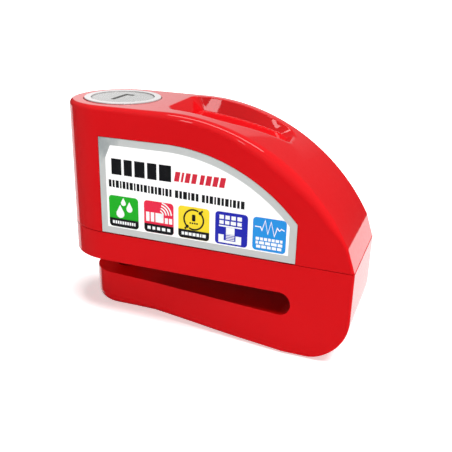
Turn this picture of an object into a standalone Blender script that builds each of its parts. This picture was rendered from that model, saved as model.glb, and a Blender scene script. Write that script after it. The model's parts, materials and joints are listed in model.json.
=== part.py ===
"""Alarm disc brake lock: a cast two-part housing with a push-down lock barrel.

The barrel carries a steel pin across the disc slot. Turning the plug swings a cam
clear of a ledge in the housing, and the return spring then lifts barrel and pin.
All sizes are in millimetres and become metres in add_solid. X is measured from
the lock axis, Y from the middle of the housing and Z from its flat base.
"""
import math

import bmesh
import bpy
from mathutils import Vector

MM = 0.001

# Overall form
HALF_WIDTH = 15.05
LOCK_TO_END = 72.75
HEIGHT = 63.0
LENGTH = HALF_WIDTH + LOCK_TO_END
LOCK_AXIS_X = HALF_WIDTH - LENGTH / 2
SEAM_Z = 26.7
UPPER_Z = 27.0
FLAT_TOP_END = 20.0
ROOF_RADIUS = 57.7
ROOF_CENTRE_Z = HEIGHT - ROOF_RADIUS
ROOF_END_ANGLE = math.radians(61.0)
UPPER_END_X = 72.6
UPPER_END_Z = 27.5
RIM_FILLET = 2.0

# Disc slot and lower jaw
SLOT_FLOOR_Z = 11.4
SLOT_ROOF_Z = 18.2
SLOT_END_X = 56.6
JAW_NOSE_RADIUS = 9.2
JAW_TAPER_START = (13.0, 10.1)
JAW_TAPER_END = (55.0, HALF_WIDTH)
JAW_FILLET_NOSE = 4.0
JAW_FILLET_BACK = 1.2
END_CORNER_RADIUS = 12.8

# Lock barrel, plug, cam and pin
TRAVEL = 13.0
BARREL_RADIUS = 11.0
BARREL_TOP_Z = 63.3
BARREL_BOTTOM_Z = 37.3
BORE_CLEARANCE = 0.15
CAM_FLOOR_Z = 42.0
LEDGE_Z = 46.0
COUNTERBORE_RADIUS = 13.0
CHANNEL_TOP_Z = 59.3
RELIEF_START, RELIEF_END = -108.0, 16.0
RELIEF_CLEARANCE = 0.4
RIB_TOP_Z = 58.0
SEAL_GROOVE_RADIUS = 12.9
SEAL_GROOVE_Z = (60.0, 61.8)
SEAL_RADIUS = 12.0
SEAL_CORD = 0.7
PLUG_RADIUS = 8.9
PLUG_CLEARANCE = 0.12
PLUG_TOP_Z = 63.1
PLUG_BOTTOM_Z = 46.3
KEYWAY_ANGLE = math.radians(90.0)
KEYWAY_LENGTH = 9.0
KEYWAY_WIDTH = 1.4
KEYWAY_OFFSET = 0.9
KEYWAY_SERIF = (1.3, 1.7)
KEYWAY_DEPTH = 15.5
WAFER_COUNT = 5
WAFER_FIRST_Z = 50.4
WAFER_PITCH = 2.3
WAFER_THICKNESS = 0.8
WAFER_WIDTH = 5.8
WAFER_WINDOW_MARGIN = 0.5
CAM_RADIUS = 8.6
CAM_REACH = 12.6
CAM_HALF_WIDTH = 2.5
CAM_BOTTOM_Z = 42.6
CAM_TOP_Z = 45.4
PIN_RADIUS = 3.0
PIN_TIP_Z = 5.9
PIN_HEAD_Z = 41.7
DOWEL_Z = 39.4
DOWEL_RADIUS = 0.95
RETAINER_PLACE = (-8.75, 48.2)
RETAINER_RADIUS = 0.7
RETAINER_GROOVE_Z = (47.2, 49.2)
MAGNET_Z = 39.6
SPRING_BOTTOM_Z = 27.0
SPRING_TOP_Z = 37.0
SPRING_RADIUS = 7.0
SPRING_WIRE = 0.65
SPRING_TURNS = 4.5

# Housing interior
WALL = 2.5
ROOF_WALL = 2.2
CAVITY_START_X = 15.5
CAVITY_END_X = 69.2
CAVITY_HALF_WIDTH = HALF_WIDTH - WALL
BOSS_RADIUS = 2.9
SCREWS = ((18.8, -10.2), (18.8, 10.2), (41.2, 0.0))
SCREW_RADIUS = 1.4
SCREW_HEAD_RADIUS = 2.6
SCREW_HEAD_Z = (18.6, 21.0)
SCREW_TIP_Z = 37.0
GASKET_PATH = ((14.3, -13.8), (70.7, -13.8), (70.7, 13.8), (14.3, 13.8))
GASKET_CORNER = 1.6
GASKET_GROOVE_Z = 25.6

# Scoop in the roof: corners as (x, y, radius) at the roof and at the floor
SCOOP_TOP = (
    (17.4, -8.7, 3.7), (33.5, -9.6, 14.0), (49.8, 1.8, 3.0),
    (48.8, 12.0, 4.5), (16.8, 12.0, 2.5),
)
SCOOP_FOOT = (
    (20.5, -6.8, 2.5), (32.8, -6.4, 10.0), (47.0, 4.6, 1.5),
    (47.6, 11.5, 4.0), (20.5, 11.5, 0.6),
)
SCOOP_START = (20.5, HEIGHT - 3.9)
SCOOP_FLOOR_RADIUS = 109.0
SCOOP_FLOOR_SLOPE = 0.07

# Label plate
LABEL_LEFT_X = 0.2
LABEL_RIGHT_X = 57.3
LABEL_TOP_Z = 54.9
LABEL_THICKNESS = 0.3
LABEL_POCKET = 0.4

# Alarm module
SIREN_X = 32.4
SIREN_Z = 39.5
SIREN_RADIUS = 10.0
BOARD_Y = -6.0
CELL_RADIUS = 5.8
CELL_LENGTH = 5.4
CELL_PITCH = 5.6
CELL_START_X = 46.4
CELL_Y = 6.1
CELL_Z = 33.7

COLOURS = {
    "red_paint": ((0.62, 0.004, 0.008), 0.16, 0.0),
    "bright_steel": ((0.62, 0.62, 0.61), 0.24, 1.0),
    "plain_steel": ((0.45, 0.46, 0.48), 0.32, 1.0),
    "brass": ((0.62, 0.43, 0.16), 0.3, 1.0),
    "black_rubber": ((0.02, 0.02, 0.02), 0.75, 0.0),
    "label": ((0.86, 0.88, 0.88), 0.35, 0.0),
    "black_plastic": ((0.03, 0.03, 0.035), 0.5, 0.0),
    "green_board": ((0.01, 0.12, 0.045), 0.45, 0.0),
    "membrane": ((0.75, 0.75, 0.72), 0.8, 0.0),
    "glass": ((0.55, 0.62, 0.55), 0.08, 0.0),
}


# Helpers -------------------------------------------------------------------

def clear_scene():
    for obj in list(bpy.data.objects):
        bpy.data.objects.remove(obj, do_unlink=True)


def make_material(owner, finish):
    colour, roughness, metallic = COLOURS[finish]
    material = bpy.data.materials.new(owner + "_" + finish)
    material.use_nodes = True
    shader = material.node_tree.nodes["Principled BSDF"]
    shader.inputs["Base Color"].default_value = (*colour, 1.0)
    shader.inputs["Roughness"].default_value = roughness
    shader.inputs["Metallic"].default_value = metallic
    return material


def add_solid(name, bm, finish=None):
    """Turn a millimetre bmesh into a metre object on the lock frame; no finish makes a cutter."""
    bmesh.ops.recalc_face_normals(bm, faces=bm.faces)
    bmesh.ops.scale(bm, vec=(MM, MM, MM), verts=bm.verts)
    mesh = bpy.data.meshes.new(name)
    bm.to_mesh(mesh)
    bm.free()
    obj = bpy.data.objects.new(name, mesh)
    bpy.context.scene.collection.objects.link(obj)
    obj.parent = bpy.data.objects["lock_axis"]
    if finish:
        mesh.materials.append(make_material(name, finish))
        mesh.shade_smooth()
        mesh.set_sharp_from_angle(angle=math.radians(28))
    else:
        obj.hide_render = True
        obj.display_type = "WIRE"
    return obj


def combine(target, operation, operands):
    """Add one Boolean modifier per operand bmesh or object."""
    for index, operand in enumerate(operands):
        if isinstance(operand, bmesh.types.BMesh):
            operand = add_solid(f"{target.name}_{operation.lower()}_{index:02d}", operand)
        modifier = target.modifiers.new(operand.name, "BOOLEAN")
        modifier.operation = operation
        modifier.object = operand
        modifier.solver = "EXACT"


def loft(rings, closed=False):
    """Join equal rings of points in order, capping the two ends unless closed."""
    bm = bmesh.new()
    loops = [[bm.verts.new(point) for point in ring] for ring in rings]
    pairs = list(zip(loops, loops[1:]))
    if closed:
        pairs.append((loops[-1], loops[0]))
    else:
        bm.faces.new(loops[0])
        bm.faces.new(loops[-1])
    for low, high in pairs:
        for i in range(len(low)):
            j = (i + 1) % len(low)
            bm.faces.new((low[i], low[j], high[j], high[i]))
    return bm


def prism(outline, axis, low, high):
    """Extrude a 2-D outline along X, Y or Z; the outline's axes are the other two, in order."""
    def place(point, level):
        return {"X": (level, *point), "Y": (point[0], level, point[1]), "Z": (*point, level)}[axis]
    return loft([[place(point, level) for point in outline] for level in (low, high)])


def frame_prism(outer, inner, low, high):
    """A ring-shaped prism along Z between two outlines with the same number of points."""
    rings = [[(*p, low) for p in outer], [(*p, high) for p in outer],
             [(*p, high) for p in inner], [(*p, low) for p in inner]]
    return loft(rings, closed=True)


def circle(centre, radius, count):
    step = 2 * math.pi / count
    return [(centre[0] + radius * math.cos(i * step), centre[1] + radius * math.sin(i * step))
            for i in range(count)]


def cylinder(axis, centre, radius, low, high, count=20):
    return prism(circle(centre, radius, count), axis, low, high)


def box(x, y, z):
    return prism([(x[0], y[0]), (x[1], y[0]), (x[1], y[1]), (x[0], y[1])], "Z", *z)


def turned(profile, count, axis="Z", centre=(0.0, 0.0), closed=True):
    """Turn a profile of (radius, height) about an axis; an open profile starts and ends on it."""
    if closed:
        rings = [[(*p, height) for p in circle((0, 0), radius, count)] for radius, height in profile]
        bm = loft(rings, closed=True)
    else:
        rings = [[(*p, height) for p in circle((0, 0), radius, count)] for radius, height in profile[1:-1]]
        bm = loft(rings)
    for vert in bm.verts:
        x, y, z = vert.co
        if axis == "Y":
            vert.co = (x + centre[0], z, y + centre[1])
        else:
            vert.co = (x + centre[0], y + centre[1], z)
    return bm


def rounded_outline(corners, steps=4, side_steps=1):
    """Outline through (x, y, radius) corners: rounded corners, and sides in equal steps."""
    arcs = []
    count = len(corners)
    for i, (x, y, radius) in enumerate(corners):
        here = Vector((x, y))
        before = (Vector(corners[i - 1][:2]) - here).normalized()
        after = (Vector(corners[(i + 1) % count][:2]) - here).normalized()
        half = before.angle(after) / 2
        centre = here + (before + after).normalized() * radius / math.sin(half)
        start = here + before * radius / math.tan(half) - centre
        end = here + after * radius / math.tan(half) - centre
        sweep = start.angle_signed(end)
        arc = []
        for k in range(steps + 1):
            angle = -sweep * k / steps
            arm = Vector((start.x * math.cos(angle) - start.y * math.sin(angle),
                          start.x * math.sin(angle) + start.y * math.cos(angle)))
            arc.append(centre + arm)
        arcs.append(arc)
    outline = []
    for arc, following in zip(arcs, arcs[1:] + arcs[:1]):
        outline += arc
        outline += [arc[-1].lerp(following[0], k / side_steps) for k in range(1, side_steps)]
    return [tuple(point) for point in outline]


# Upper housing -------------------------------------------------------------

def roof_profile(steps):
    """(x, z) along the roof from above the lock axis, over the arc, to the right end."""
    points = [(0.0, HEIGHT), (8.0, HEIGHT), (FLAT_TOP_END, HEIGHT)]
    for i in range(1, steps + 1):
        angle = ROOF_END_ANGLE * i / steps
        points.append((FLAT_TOP_END + ROOF_RADIUS * math.sin(angle),
                       ROOF_CENTRE_Z + ROOF_RADIUS * math.cos(angle)))
    points.append((UPPER_END_X, UPPER_END_Z))
    return points


def outer_shell(end_steps=12, roof_steps=12):
    """The housing's outside: round left end, flat top, arched roof and filleted rim."""
    stations = []
    for i in range(1, end_steps):
        angle = math.pi / 2 * i / end_steps
        stations.append((-HALF_WIDTH * math.cos(angle), HALF_WIDTH * math.sin(angle), HEIGHT))
    stations += [(x, HALF_WIDTH, z) for x, z in roof_profile(roof_steps)]
    bm = bmesh.new()
    tip = [bm.verts.new((-HALF_WIDTH, 0, z)) for z in (UPPER_Z, HEIGHT)]
    front = [[bm.verts.new((x, -y, z)) for z in (UPPER_Z, top)] for x, y, top in stations]
    back = [[bm.verts.new((x, y, z)) for z in (UPPER_Z, top)] for x, y, top in stations]
    bm.faces.new([tip[0]] + [pair[0] for pair in front] + [pair[0] for pair in reversed(back)])
    bm.faces.new((tip[1], front[0][1], back[0][1]))
    for i in range(len(stations) - 1):
        bm.faces.new((front[i][1], front[i + 1][1], back[i + 1][1], back[i][1]))
    rim = []
    for side in (front, back):
        chain = [tip] + side
        for low, high in zip(chain, chain[1:]):
            bm.faces.new((low[0], high[0], high[1], low[1]))
            rim.append(bm.edges.get((low[1], high[1])))
        rim.append(bm.edges.get((side[-1][0], side[-1][1])) or bm.edges.new(side[-1]))
    bm.faces.new((front[-1][0], back[-1][0], back[-1][1], front[-1][1]))
    bmesh.ops.recalc_face_normals(bm, faces=bm.faces)
    bmesh.ops.bevel(bm, geom=rim, offset=RIM_FILLET, segments=3, profile=0.5,
                    affect="EDGES", clamp_overlap=True)
    return bm


def roof_z(x):
    run = max(x - FLAT_TOP_END, 0.0)
    return ROOF_CENTRE_Z + math.sqrt(ROOF_RADIUS ** 2 - run ** 2)


def scoop_floor_z(x):
    run = x - SCOOP_START[0]
    return SCOOP_START[1] - SCOOP_FLOOR_SLOPE * run - run * run / (2 * SCOOP_FLOOR_RADIUS)


def scoop_cutter():
    """The scoop: from its curved floor, up sloped walls to the roof, and on above it."""
    foot = rounded_outline(SCOOP_FOOT, side_steps=5)
    top = rounded_outline(SCOOP_TOP, side_steps=5)
    bm = loft([
        [(x, y, scoop_floor_z(x)) for x, y in foot],
        [(x, y, roof_z(x)) for x, y in top],
        [(x, y, HEIGHT + 2) for x, y in top],
    ])
    bmesh.ops.triangulate(bm, faces=bm.faces)
    return bm


def cavity_profile(steps=8):
    """Room for the alarm module: under the scoop's floor, then under the arched roof."""
    inner_radius = ROOF_RADIUS - ROOF_WALL
    points = [(CAVITY_START_X, UPPER_Z - 1), (CAVITY_START_X, SCOOP_START[1] - ROOF_WALL)]
    for i in range(0, 4):
        x = SCOOP_START[0] + 8.5 * i
        points.append((x, scoop_floor_z(x) - ROOF_WALL))
    first = math.asin((50.0 - FLAT_TOP_END) / inner_radius)
    last = math.asin((CAVITY_END_X - 0.6 - FLAT_TOP_END) / inner_radius)
    for i in range(steps + 1):
        angle = first + (last - first) * i / steps
        points.append((FLAT_TOP_END + inner_radius * math.sin(angle),
                       ROOF_CENTRE_Z + inner_radius * math.cos(angle)))
    points.append((CAVITY_END_X, UPPER_Z - 1))
    return points


def cavity_cutter():
    """The cavity, less the three screw bosses that hang from its ceiling."""
    cavity = add_solid("cavity", prism(cavity_profile(), "Y", -CAVITY_HALF_WIDTH, CAVITY_HALF_WIDTH))
    combine(cavity, "DIFFERENCE", [
        cylinder("Z", place, BOSS_RADIUS, UPPER_Z + 0.3, HEIGHT) for place in SCREWS
    ])
    return cavity


def sector(radius, start, end, steps=8):
    """A pie slice about the lock axis, between two angles in degrees."""
    points = [(0.0, 0.0)]
    for i in range(steps + 1):
        angle = math.radians(start + (end - start) * i / steps)
        points.append((radius * math.cos(angle), radius * math.sin(angle)))
    return points


def keyed_bore(radius):
    """A round bore with a rib on its +Y side that keeps the barrel from turning."""
    rib_half_width = 1.2
    rib_tip = 10.2
    count = 40
    outline = []
    for i in range(count):
        angle = math.pi / 2 + 2 * math.pi * (i + 0.5) / count
        point = (radius * math.cos(angle), radius * math.sin(angle))
        if point[1] < 0 or abs(point[0]) > rib_half_width:
            outline.append(point)
    rib_root = math.sqrt(radius ** 2 - rib_half_width ** 2)
    return outline + [(rib_half_width, rib_root), (rib_half_width, rib_tip),
                      (-rib_half_width, rib_tip), (-rib_half_width, rib_root)]


def label_outline(margin=0.0):
    """The label plate's outline: its top edge runs parallel to the roof."""
    top = LABEL_TOP_Z - margin
    radius = top - ROOF_CENTRE_Z
    right = LABEL_RIGHT_X - margin
    last = math.asin((right - FLAT_TOP_END) / radius)
    steps = 10
    points = [(LABEL_LEFT_X + margin, UPPER_Z + margin), (right, UPPER_Z + margin)]
    for i in range(steps + 1):
        angle = last * (steps - i) / steps
        points.append((FLAT_TOP_END + radius * math.sin(angle), ROOF_CENTRE_Z + radius * math.cos(angle)))
    return points + [(LABEL_LEFT_X + margin, top)]


def build_upper_housing():
    housing = add_solid("upper_housing", outer_shell(), "red_paint")
    bore = BARREL_RADIUS + BORE_CLEARANCE
    combine(housing, "DIFFERENCE", [
        scoop_cutter(),
        cylinder("Z", (0, 0), COUNTERBORE_RADIUS, UPPER_Z - 1, LEDGE_Z, 40),
        prism(keyed_bore(bore), "Z", LEDGE_Z - 1, RIB_TOP_Z + 0.1),
        cylinder("Z", (0, 0), bore, RIB_TOP_Z, HEIGHT + 1, 40),
        cylinder("Z", (0, 0), SEAL_GROOVE_RADIUS, *SEAL_GROOVE_Z, 40),
        box((8.0, CAM_REACH + 0.3), (-CAM_HALF_WIDTH - 0.3, CAM_HALF_WIDTH + 0.3),
            (LEDGE_Z - 1, CHANNEL_TOP_Z)),
        prism(sector(COUNTERBORE_RADIUS, RELIEF_START, RELIEF_END, 20), "Z",
              CAM_BOTTOM_Z + TRAVEL - RELIEF_CLEARANCE, CAM_TOP_Z + TRAVEL + RELIEF_CLEARANCE),
        cavity_cutter(),
    ])
    sound_slots = [
        box((SIREN_X + 3.0 * k - 0.7, SIREN_X + 3.0 * k + 0.7),
            (CAVITY_HALF_WIDTH - 1, HALF_WIDTH + 1),
            (SIREN_Z - 7.0 + 1.2 * abs(k), SIREN_Z + 7.0 - 1.2 * abs(k)))
        for k in (-2, -1, 0, 1, 2)
    ]
    pilot_holes = [cylinder("Z", place, SCREW_RADIUS + 0.15, UPPER_Z - 1, SCREW_TIP_Z + 1, 16)
                   for place in SCREWS]
    label_pocket = prism(label_outline()[2:] + [(LABEL_LEFT_X, UPPER_Z - 1), (LABEL_RIGHT_X, UPPER_Z - 1)],
                         "Y", -HALF_WIDTH - 1, -HALF_WIDTH + LABEL_POCKET)
    combine(housing, "DIFFERENCE", sound_slots + pilot_holes + [label_pocket])


# Lower body ----------------------------------------------------------------

def jaw_half_width(x):
    (x0, w0), (x1, w1) = JAW_TAPER_START, JAW_TAPER_END
    if x <= x0:
        return JAW_NOSE_RADIUS + (w0 - JAW_NOSE_RADIUS) * max(x, 0) / x0
    return min(w1, w0 + (w1 - w0) * (x - x0) / (x1 - x0))


def jaw_inset(x, z):
    """How far the rounded bottom edge draws the side in at height z."""
    share = min(max(x / JAW_TAPER_END[0], 0.0), 1.0)
    radius = JAW_FILLET_NOSE + (JAW_FILLET_BACK - JAW_FILLET_NOSE) * share
    if z >= radius:
        return 0.0
    return radius - math.sqrt(radius ** 2 - (radius - z) ** 2)


def end_x(z):
    """The right end: upright, with a large rounded bottom corner."""
    if z >= END_CORNER_RADIUS:
        return LOCK_TO_END
    drop = END_CORNER_RADIUS - z
    return LOCK_TO_END - END_CORNER_RADIUS + math.sqrt(END_CORNER_RADIUS ** 2 - drop ** 2)


def body_ring(z, jaw):
    """One level of the lower body: a round nose, two sides and the right end."""
    nose_steps = 8
    nose_radius = JAW_NOSE_RADIUS if jaw else HALF_WIDTH
    side = []
    for i in range(nose_steps + 1):
        angle = math.pi / 2 * i / nose_steps
        radius = nose_radius - (jaw_inset(0, z) if jaw else 0)
        side.append((-radius * math.cos(angle), radius * math.sin(angle)))
    for x in (JAW_TAPER_START[0], 27.0, 41.0, JAW_TAPER_END[0]):
        side.append((x, jaw_half_width(x) - jaw_inset(x, z) if jaw else HALF_WIDTH))
    inset = jaw_inset(LOCK_TO_END, z)
    side.append((end_x(z), HALF_WIDTH - inset))
    ring = [(x, -y, z) for x, y in side] + [(x, y, z) for x, y in reversed(side)]
    return ring[1:]


def build_lower_body():
    levels = [0.0, 0.35, 1.2, 2.4, 4.0, 6.0, 9.0]
    rings = [body_ring(z, True) for z in levels]
    rings.append(body_ring(SLOT_FLOOR_Z + 0.6, True))
    rings.append(body_ring(SLOT_ROOF_Z - 0.6, False))
    rings.append(body_ring(SEAM_Z, False))
    body = add_solid("lower_body", loft(rings), "red_paint")
    slot_half = (SLOT_ROOF_Z - SLOT_FLOOR_Z) / 2
    slot_z = SLOT_FLOOR_Z + slot_half
    slot = [(-HALF_WIDTH - 5, SLOT_FLOOR_Z)]
    for i in range(13):
        angle = math.pi * i / 12 - math.pi / 2
        slot.append((SLOT_END_X - slot_half + slot_half * math.cos(angle),
                     slot_z + slot_half * math.sin(angle)))
    slot.append((-HALF_WIDTH - 5, SLOT_ROOF_Z))
    cutters = [
        prism(slot, "Y", -20, 20),
        cylinder("Z", (0, 0), PIN_RADIUS + 0.25, SLOT_ROOF_Z - 1, SEAM_Z + 1, 24),
        cylinder("Z", (0, 0), 5.2, 19.6, SEAM_Z + 2, 24),
        cylinder("Z", (0, 0), 10.3, 25.6, SEAM_Z + 3, 32),
        cylinder("Z", (0, 0), PIN_RADIUS + 0.3, PIN_TIP_Z - 0.8, SLOT_FLOOR_Z + 1, 24),
        cylinder("Z", (0, 0), 1.0, -1, PIN_TIP_Z, 12),
        gasket_ring(0.75, GASKET_GROOVE_Z, SEAM_Z + 1),
    ]
    for place in SCREWS:
        cutters.append(cylinder("Z", place, SCREW_RADIUS + 0.3, SLOT_ROOF_Z - 1.5, SEAM_Z + 1, 16))
        cutters.append(cylinder("Z", place, SCREW_HEAD_RADIUS + 0.3, SLOT_ROOF_Z - 1, SCREW_HEAD_Z[1] + 0.3))
    combine(body, "DIFFERENCE", cutters)
    add_solid("housing_gasket", gasket_ring(0.5, GASKET_GROOVE_Z + 0.2, SEAM_Z + 0.1), "black_rubber")


def gasket_ring(half, low, high):
    """A frame along the gasket path, reaching half its width to each side."""
    def grown(amount):
        signs = ((-1, -1), (1, -1), (1, 1), (-1, 1))
        return rounded_outline([(x + sx * amount, y + sy * amount, GASKET_CORNER + amount)
                                for (x, y), (sx, sy) in zip(GASKET_PATH, signs)])
    return frame_prism(grown(half), grown(-half), low, high)


# Lock ----------------------------------------------------------------------

def keyway_frame(along, across):
    """A point in the plug's face, measured along and across the keyway."""
    return (along * math.cos(KEYWAY_ANGLE) - across * math.sin(KEYWAY_ANGLE),
            along * math.sin(KEYWAY_ANGLE) + across * math.cos(KEYWAY_ANGLE))


def keyway_box(along, across, low, high):
    corners = [(along[0], across[0]), (along[1], across[0]), (along[1], across[1]), (along[0], across[1])]
    return prism([keyway_frame(*corner) for corner in corners], "Z", low, high)


def build_barrel():
    chamfer = 0.5
    inner = PLUG_RADIUS + PLUG_CLEARANCE
    barrel = add_solid("barrel", turned([
        (BARREL_RADIUS - chamfer, BARREL_TOP_Z), (BARREL_RADIUS, BARREL_TOP_Z - chamfer),
        (BARREL_RADIUS, BARREL_BOTTOM_Z), (PIN_RADIUS + 0.05, BARREL_BOTTOM_Z),
        (PIN_RADIUS + 0.05, CAM_FLOOR_Z), (inner, CAM_FLOOR_Z), (inner, BARREL_TOP_Z - 0.2),
        (inner + 0.2, BARREL_TOP_Z),
    ], 40), "bright_steel")
    combine(barrel, "DIFFERENCE", [
        prism(sector(14, RELIEF_START, RELIEF_END), "Z", CAM_FLOOR_Z + 0.1, LEDGE_Z - 0.1),
        box((-1.5, 1.5), (9.9, 12.0), (BARREL_BOTTOM_Z - 1, RIB_TOP_Z + 1.0)),
        cylinder("Y", (0.0, DOWEL_Z), DOWEL_RADIUS + 0.1, -12, 12, 12),
        cylinder("Y", RETAINER_PLACE, RETAINER_RADIUS + 0.15, -12, 12, 12),
        cylinder("X", (0.0, MAGNET_Z), 1.6, 7.6, 12, 12),
    ])
    add_solid("plug_retaining_pin", cylinder("Y", RETAINER_PLACE, RETAINER_RADIUS, -5.4, 5.4, 10),
              "plain_steel")
    add_solid("barrel_magnet", cylinder("X", (0.0, MAGNET_Z), 1.45, 7.8, 10.6, 12), "plain_steel")


def build_plug():
    groove_radius = PLUG_RADIUS - 1.1
    groove_low, groove_high = RETAINER_GROOVE_Z
    tail_half = 2.4
    tail_end_z = 42.9
    plug = add_solid("plug", turned([
        (0, PLUG_TOP_Z), (PLUG_RADIUS - 0.3, PLUG_TOP_Z), (PLUG_RADIUS, PLUG_TOP_Z - 0.3),
        (PLUG_RADIUS, groove_high), (groove_radius, groove_high), (groove_radius, groove_low),
        (PLUG_RADIUS, groove_low), (PLUG_RADIUS, PLUG_BOTTOM_Z), (0, PLUG_BOTTOM_Z),
    ], 36, closed=False), "bright_steel")
    tail = box((-tail_half, tail_half), (-tail_half, tail_half), (tail_end_z, PLUG_BOTTOM_Z + 1))
    combine(plug, "UNION", [tail])
    near, far = KEYWAY_OFFSET - KEYWAY_WIDTH / 2, KEYWAY_OFFSET + KEYWAY_WIDTH / 2
    end = KEYWAY_LENGTH / 2
    cutters = [
        keyway_box((-end, end), (near, far), PLUG_TOP_Z - KEYWAY_DEPTH, PLUG_TOP_Z + 1),
        keyway_box((end - KEYWAY_SERIF[0], end - 0.01), (near - KEYWAY_SERIF[1], near + 0.5),
                   PLUG_TOP_Z - KEYWAY_DEPTH + 0.5, PLUG_TOP_Z + 2),
    ]
    slot_gap = 0.2
    outer, inner = wafer_outlines()
    for i in range(WAFER_COUNT):
        low = WAFER_FIRST_Z + WAFER_PITCH * i
        across = WAFER_WIDTH / 2 + slot_gap
        cutters.append(keyway_box((-12, 12), (-across, across),
                                  low - slot_gap, low + WAFER_THICKNESS + slot_gap))
        add_solid(f"wafer_{i + 1}", frame_prism(outer, inner, low, low + WAFER_THICKNESS), "brass")
    combine(plug, "DIFFERENCE", cutters)


def wafer_outlines():
    """A wafer with rounded ends flush with the plug, and its rectangular key window."""
    reach = PLUG_RADIUS - 0.15
    edge_angle = math.asin(WAFER_WIDTH / 2 / reach)
    window_along = KEYWAY_LENGTH / 2 + WAFER_WINDOW_MARGIN
    low = KEYWAY_OFFSET - KEYWAY_WIDTH / 2 - KEYWAY_SERIF[1] - 0.2
    high = KEYWAY_OFFSET + KEYWAY_WIDTH / 2 + WAFER_WINDOW_MARGIN
    centre, window_across = (low + high) / 2, (high - low) / 2
    outer, inner = [], []
    steps = 4
    for side in (0, math.pi):
        for i in range(steps + 1):
            angle = side - edge_angle + 2 * edge_angle * i / steps
            outer.append(keyway_frame(reach * math.cos(angle), reach * math.sin(angle)))
            share = (2 * i / steps - 1) * math.cos(side)
            inner.append(keyway_frame(window_along * math.cos(side), centre + window_across * share))
    return outer, inner


def build_cam():
    outline = []
    tab_angle = math.asin(CAM_HALF_WIDTH / CAM_RADIUS)
    count = 22
    for i in range(count + 1):
        angle = tab_angle + (2 * math.pi - 2 * tab_angle) * i / count
        outline.append((CAM_RADIUS * math.cos(angle), CAM_RADIUS * math.sin(angle)))
    outline += [(CAM_REACH, -CAM_HALF_WIDTH), (CAM_REACH, CAM_HALF_WIDTH)]
    cam = add_solid("lock_cam", prism(outline, "Z", CAM_BOTTOM_Z, CAM_TOP_Z), "plain_steel")
    hole = 2.6
    combine(cam, "DIFFERENCE", [box((-hole, hole), (-hole, hole), (CAM_BOTTOM_Z - 1, CAM_TOP_Z + 1))])


def build_pin():
    taper = 0.8
    pin = add_solid("locking_pin", turned([
        (0, PIN_HEAD_Z), (PIN_RADIUS, PIN_HEAD_Z), (PIN_RADIUS, PIN_TIP_Z + taper),
        (PIN_RADIUS - taper, PIN_TIP_Z), (0, PIN_TIP_Z),
    ], 24, closed=False), "bright_steel")
    combine(pin, "DIFFERENCE", [cylinder("Y", (0.0, DOWEL_Z), DOWEL_RADIUS + 0.1, -5, 5, 12)])
    add_solid("pin_cross_dowel", cylinder("Y", (0.0, DOWEL_Z), DOWEL_RADIUS, -10.2, 9.6, 12), "plain_steel")


def build_spring():
    """A coil spring of round wire, from the seat washer to the barrel's foot."""
    sides = 6
    per_turn = 18
    steps = int(SPRING_TURNS * per_turn)
    low = SPRING_BOTTOM_Z + SPRING_WIRE
    rise = SPRING_TOP_Z - SPRING_BOTTOM_Z - 2 * SPRING_WIRE
    rings = []
    for i in range(steps + 1):
        angle = 2 * math.pi * i / per_turn
        z = low + rise * i / steps
        ring = []
        for k in range(sides):
            around = 2 * math.pi * k / sides
            radius = SPRING_RADIUS + SPRING_WIRE * math.cos(around)
            ring.append((radius * math.cos(angle), radius * math.sin(angle),
                         z + SPRING_WIRE * math.sin(around)))
        rings.append(ring)
    add_solid("return_spring", loft(rings), "plain_steel")


def build_seals_and_seats():
    ring = circle((SEAL_RADIUS, sum(SEAL_GROOVE_Z) / 2), SEAL_CORD, 8)
    add_solid("barrel_seal", turned(ring, 32), "black_rubber")
    seat = [(10.0, 25.8), (10.0, 26.8), (3.5, 26.8), (3.5, 25.8)]
    bush = [(5.0, 19.8), (5.0, 25.5), (3.25, 25.5), (3.25, 19.8)]
    add_solid("spring_seat", turned(seat, 28), "plain_steel")
    add_solid("pin_bush", turned(bush, 24), "plain_steel")


def build_screws():
    for i, place in enumerate(SCREWS):
        screw = add_solid(f"housing_screw_{i + 1}", turned([
            (0, SCREW_HEAD_Z[0]), (SCREW_HEAD_RADIUS, SCREW_HEAD_Z[0]), (SCREW_HEAD_RADIUS, SCREW_HEAD_Z[1]),
            (SCREW_RADIUS, SCREW_HEAD_Z[1]), (SCREW_RADIUS, SCREW_TIP_Z), (0, SCREW_TIP_Z),
        ], 16, centre=place, closed=False), "plain_steel")
        socket = cylinder("Z", place, 1.3, SCREW_HEAD_Z[0] - 1, SCREW_HEAD_Z[0] + 1.5, 6)
        combine(screw, "DIFFERENCE", [socket])


# Alarm module --------------------------------------------------------------

def build_siren():
    wall = 1.0
    outer, inner = SIREN_RADIUS, SIREN_RADIUS - wall
    centre = (SIREN_X, SIREN_Z)
    add_solid("siren_cup", turned([
        (0, 5.8), (outer, 5.8), (outer, 12.2), (inner, 12.2), (inner, 6.8), (0, 6.8),
    ], 28, axis="Y", centre=centre, closed=False), "black_plastic")
    add_solid("piezo_disc", cylinder("Y", centre, 8.6, 8.4, 8.8, 24), "brass")
    add_solid("siren_membrane", cylinder("Y", centre, 8.6, 11.2, 11.5, 24), "membrane")


def build_board():
    top = BOARD_Y + 1.6
    add_solid("circuit_board", box((22.2, 41.8), (BOARD_Y, top), (28.2, 51.0)), "green_board")
    add_solid("boost_coil", cylinder("Y", (27.2, 45.4), 4.0, top + 0.2, top + 6.2, 18), "black_plastic")
    add_solid("capacitor", cylinder("Y", (34.8, 44.6), 3.2, top + 0.2, top + 7.2, 18), "bright_steel")
    add_solid("control_chip", box((29.0, 35.0), (BOARD_Y - 1.7, BOARD_Y - 0.2), (36.0, 41.0)),
              "black_plastic")
    add_solid("shock_sensor", cylinder("Z", (25.6, BOARD_Y - 2.6), 2.2, 34.0, 45.0, 14), "bright_steel")
    add_solid("reed_switch", cylinder("Z", (17.2, 0.0), 1.1, 33.6, 45.6, 12), "glass")


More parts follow.
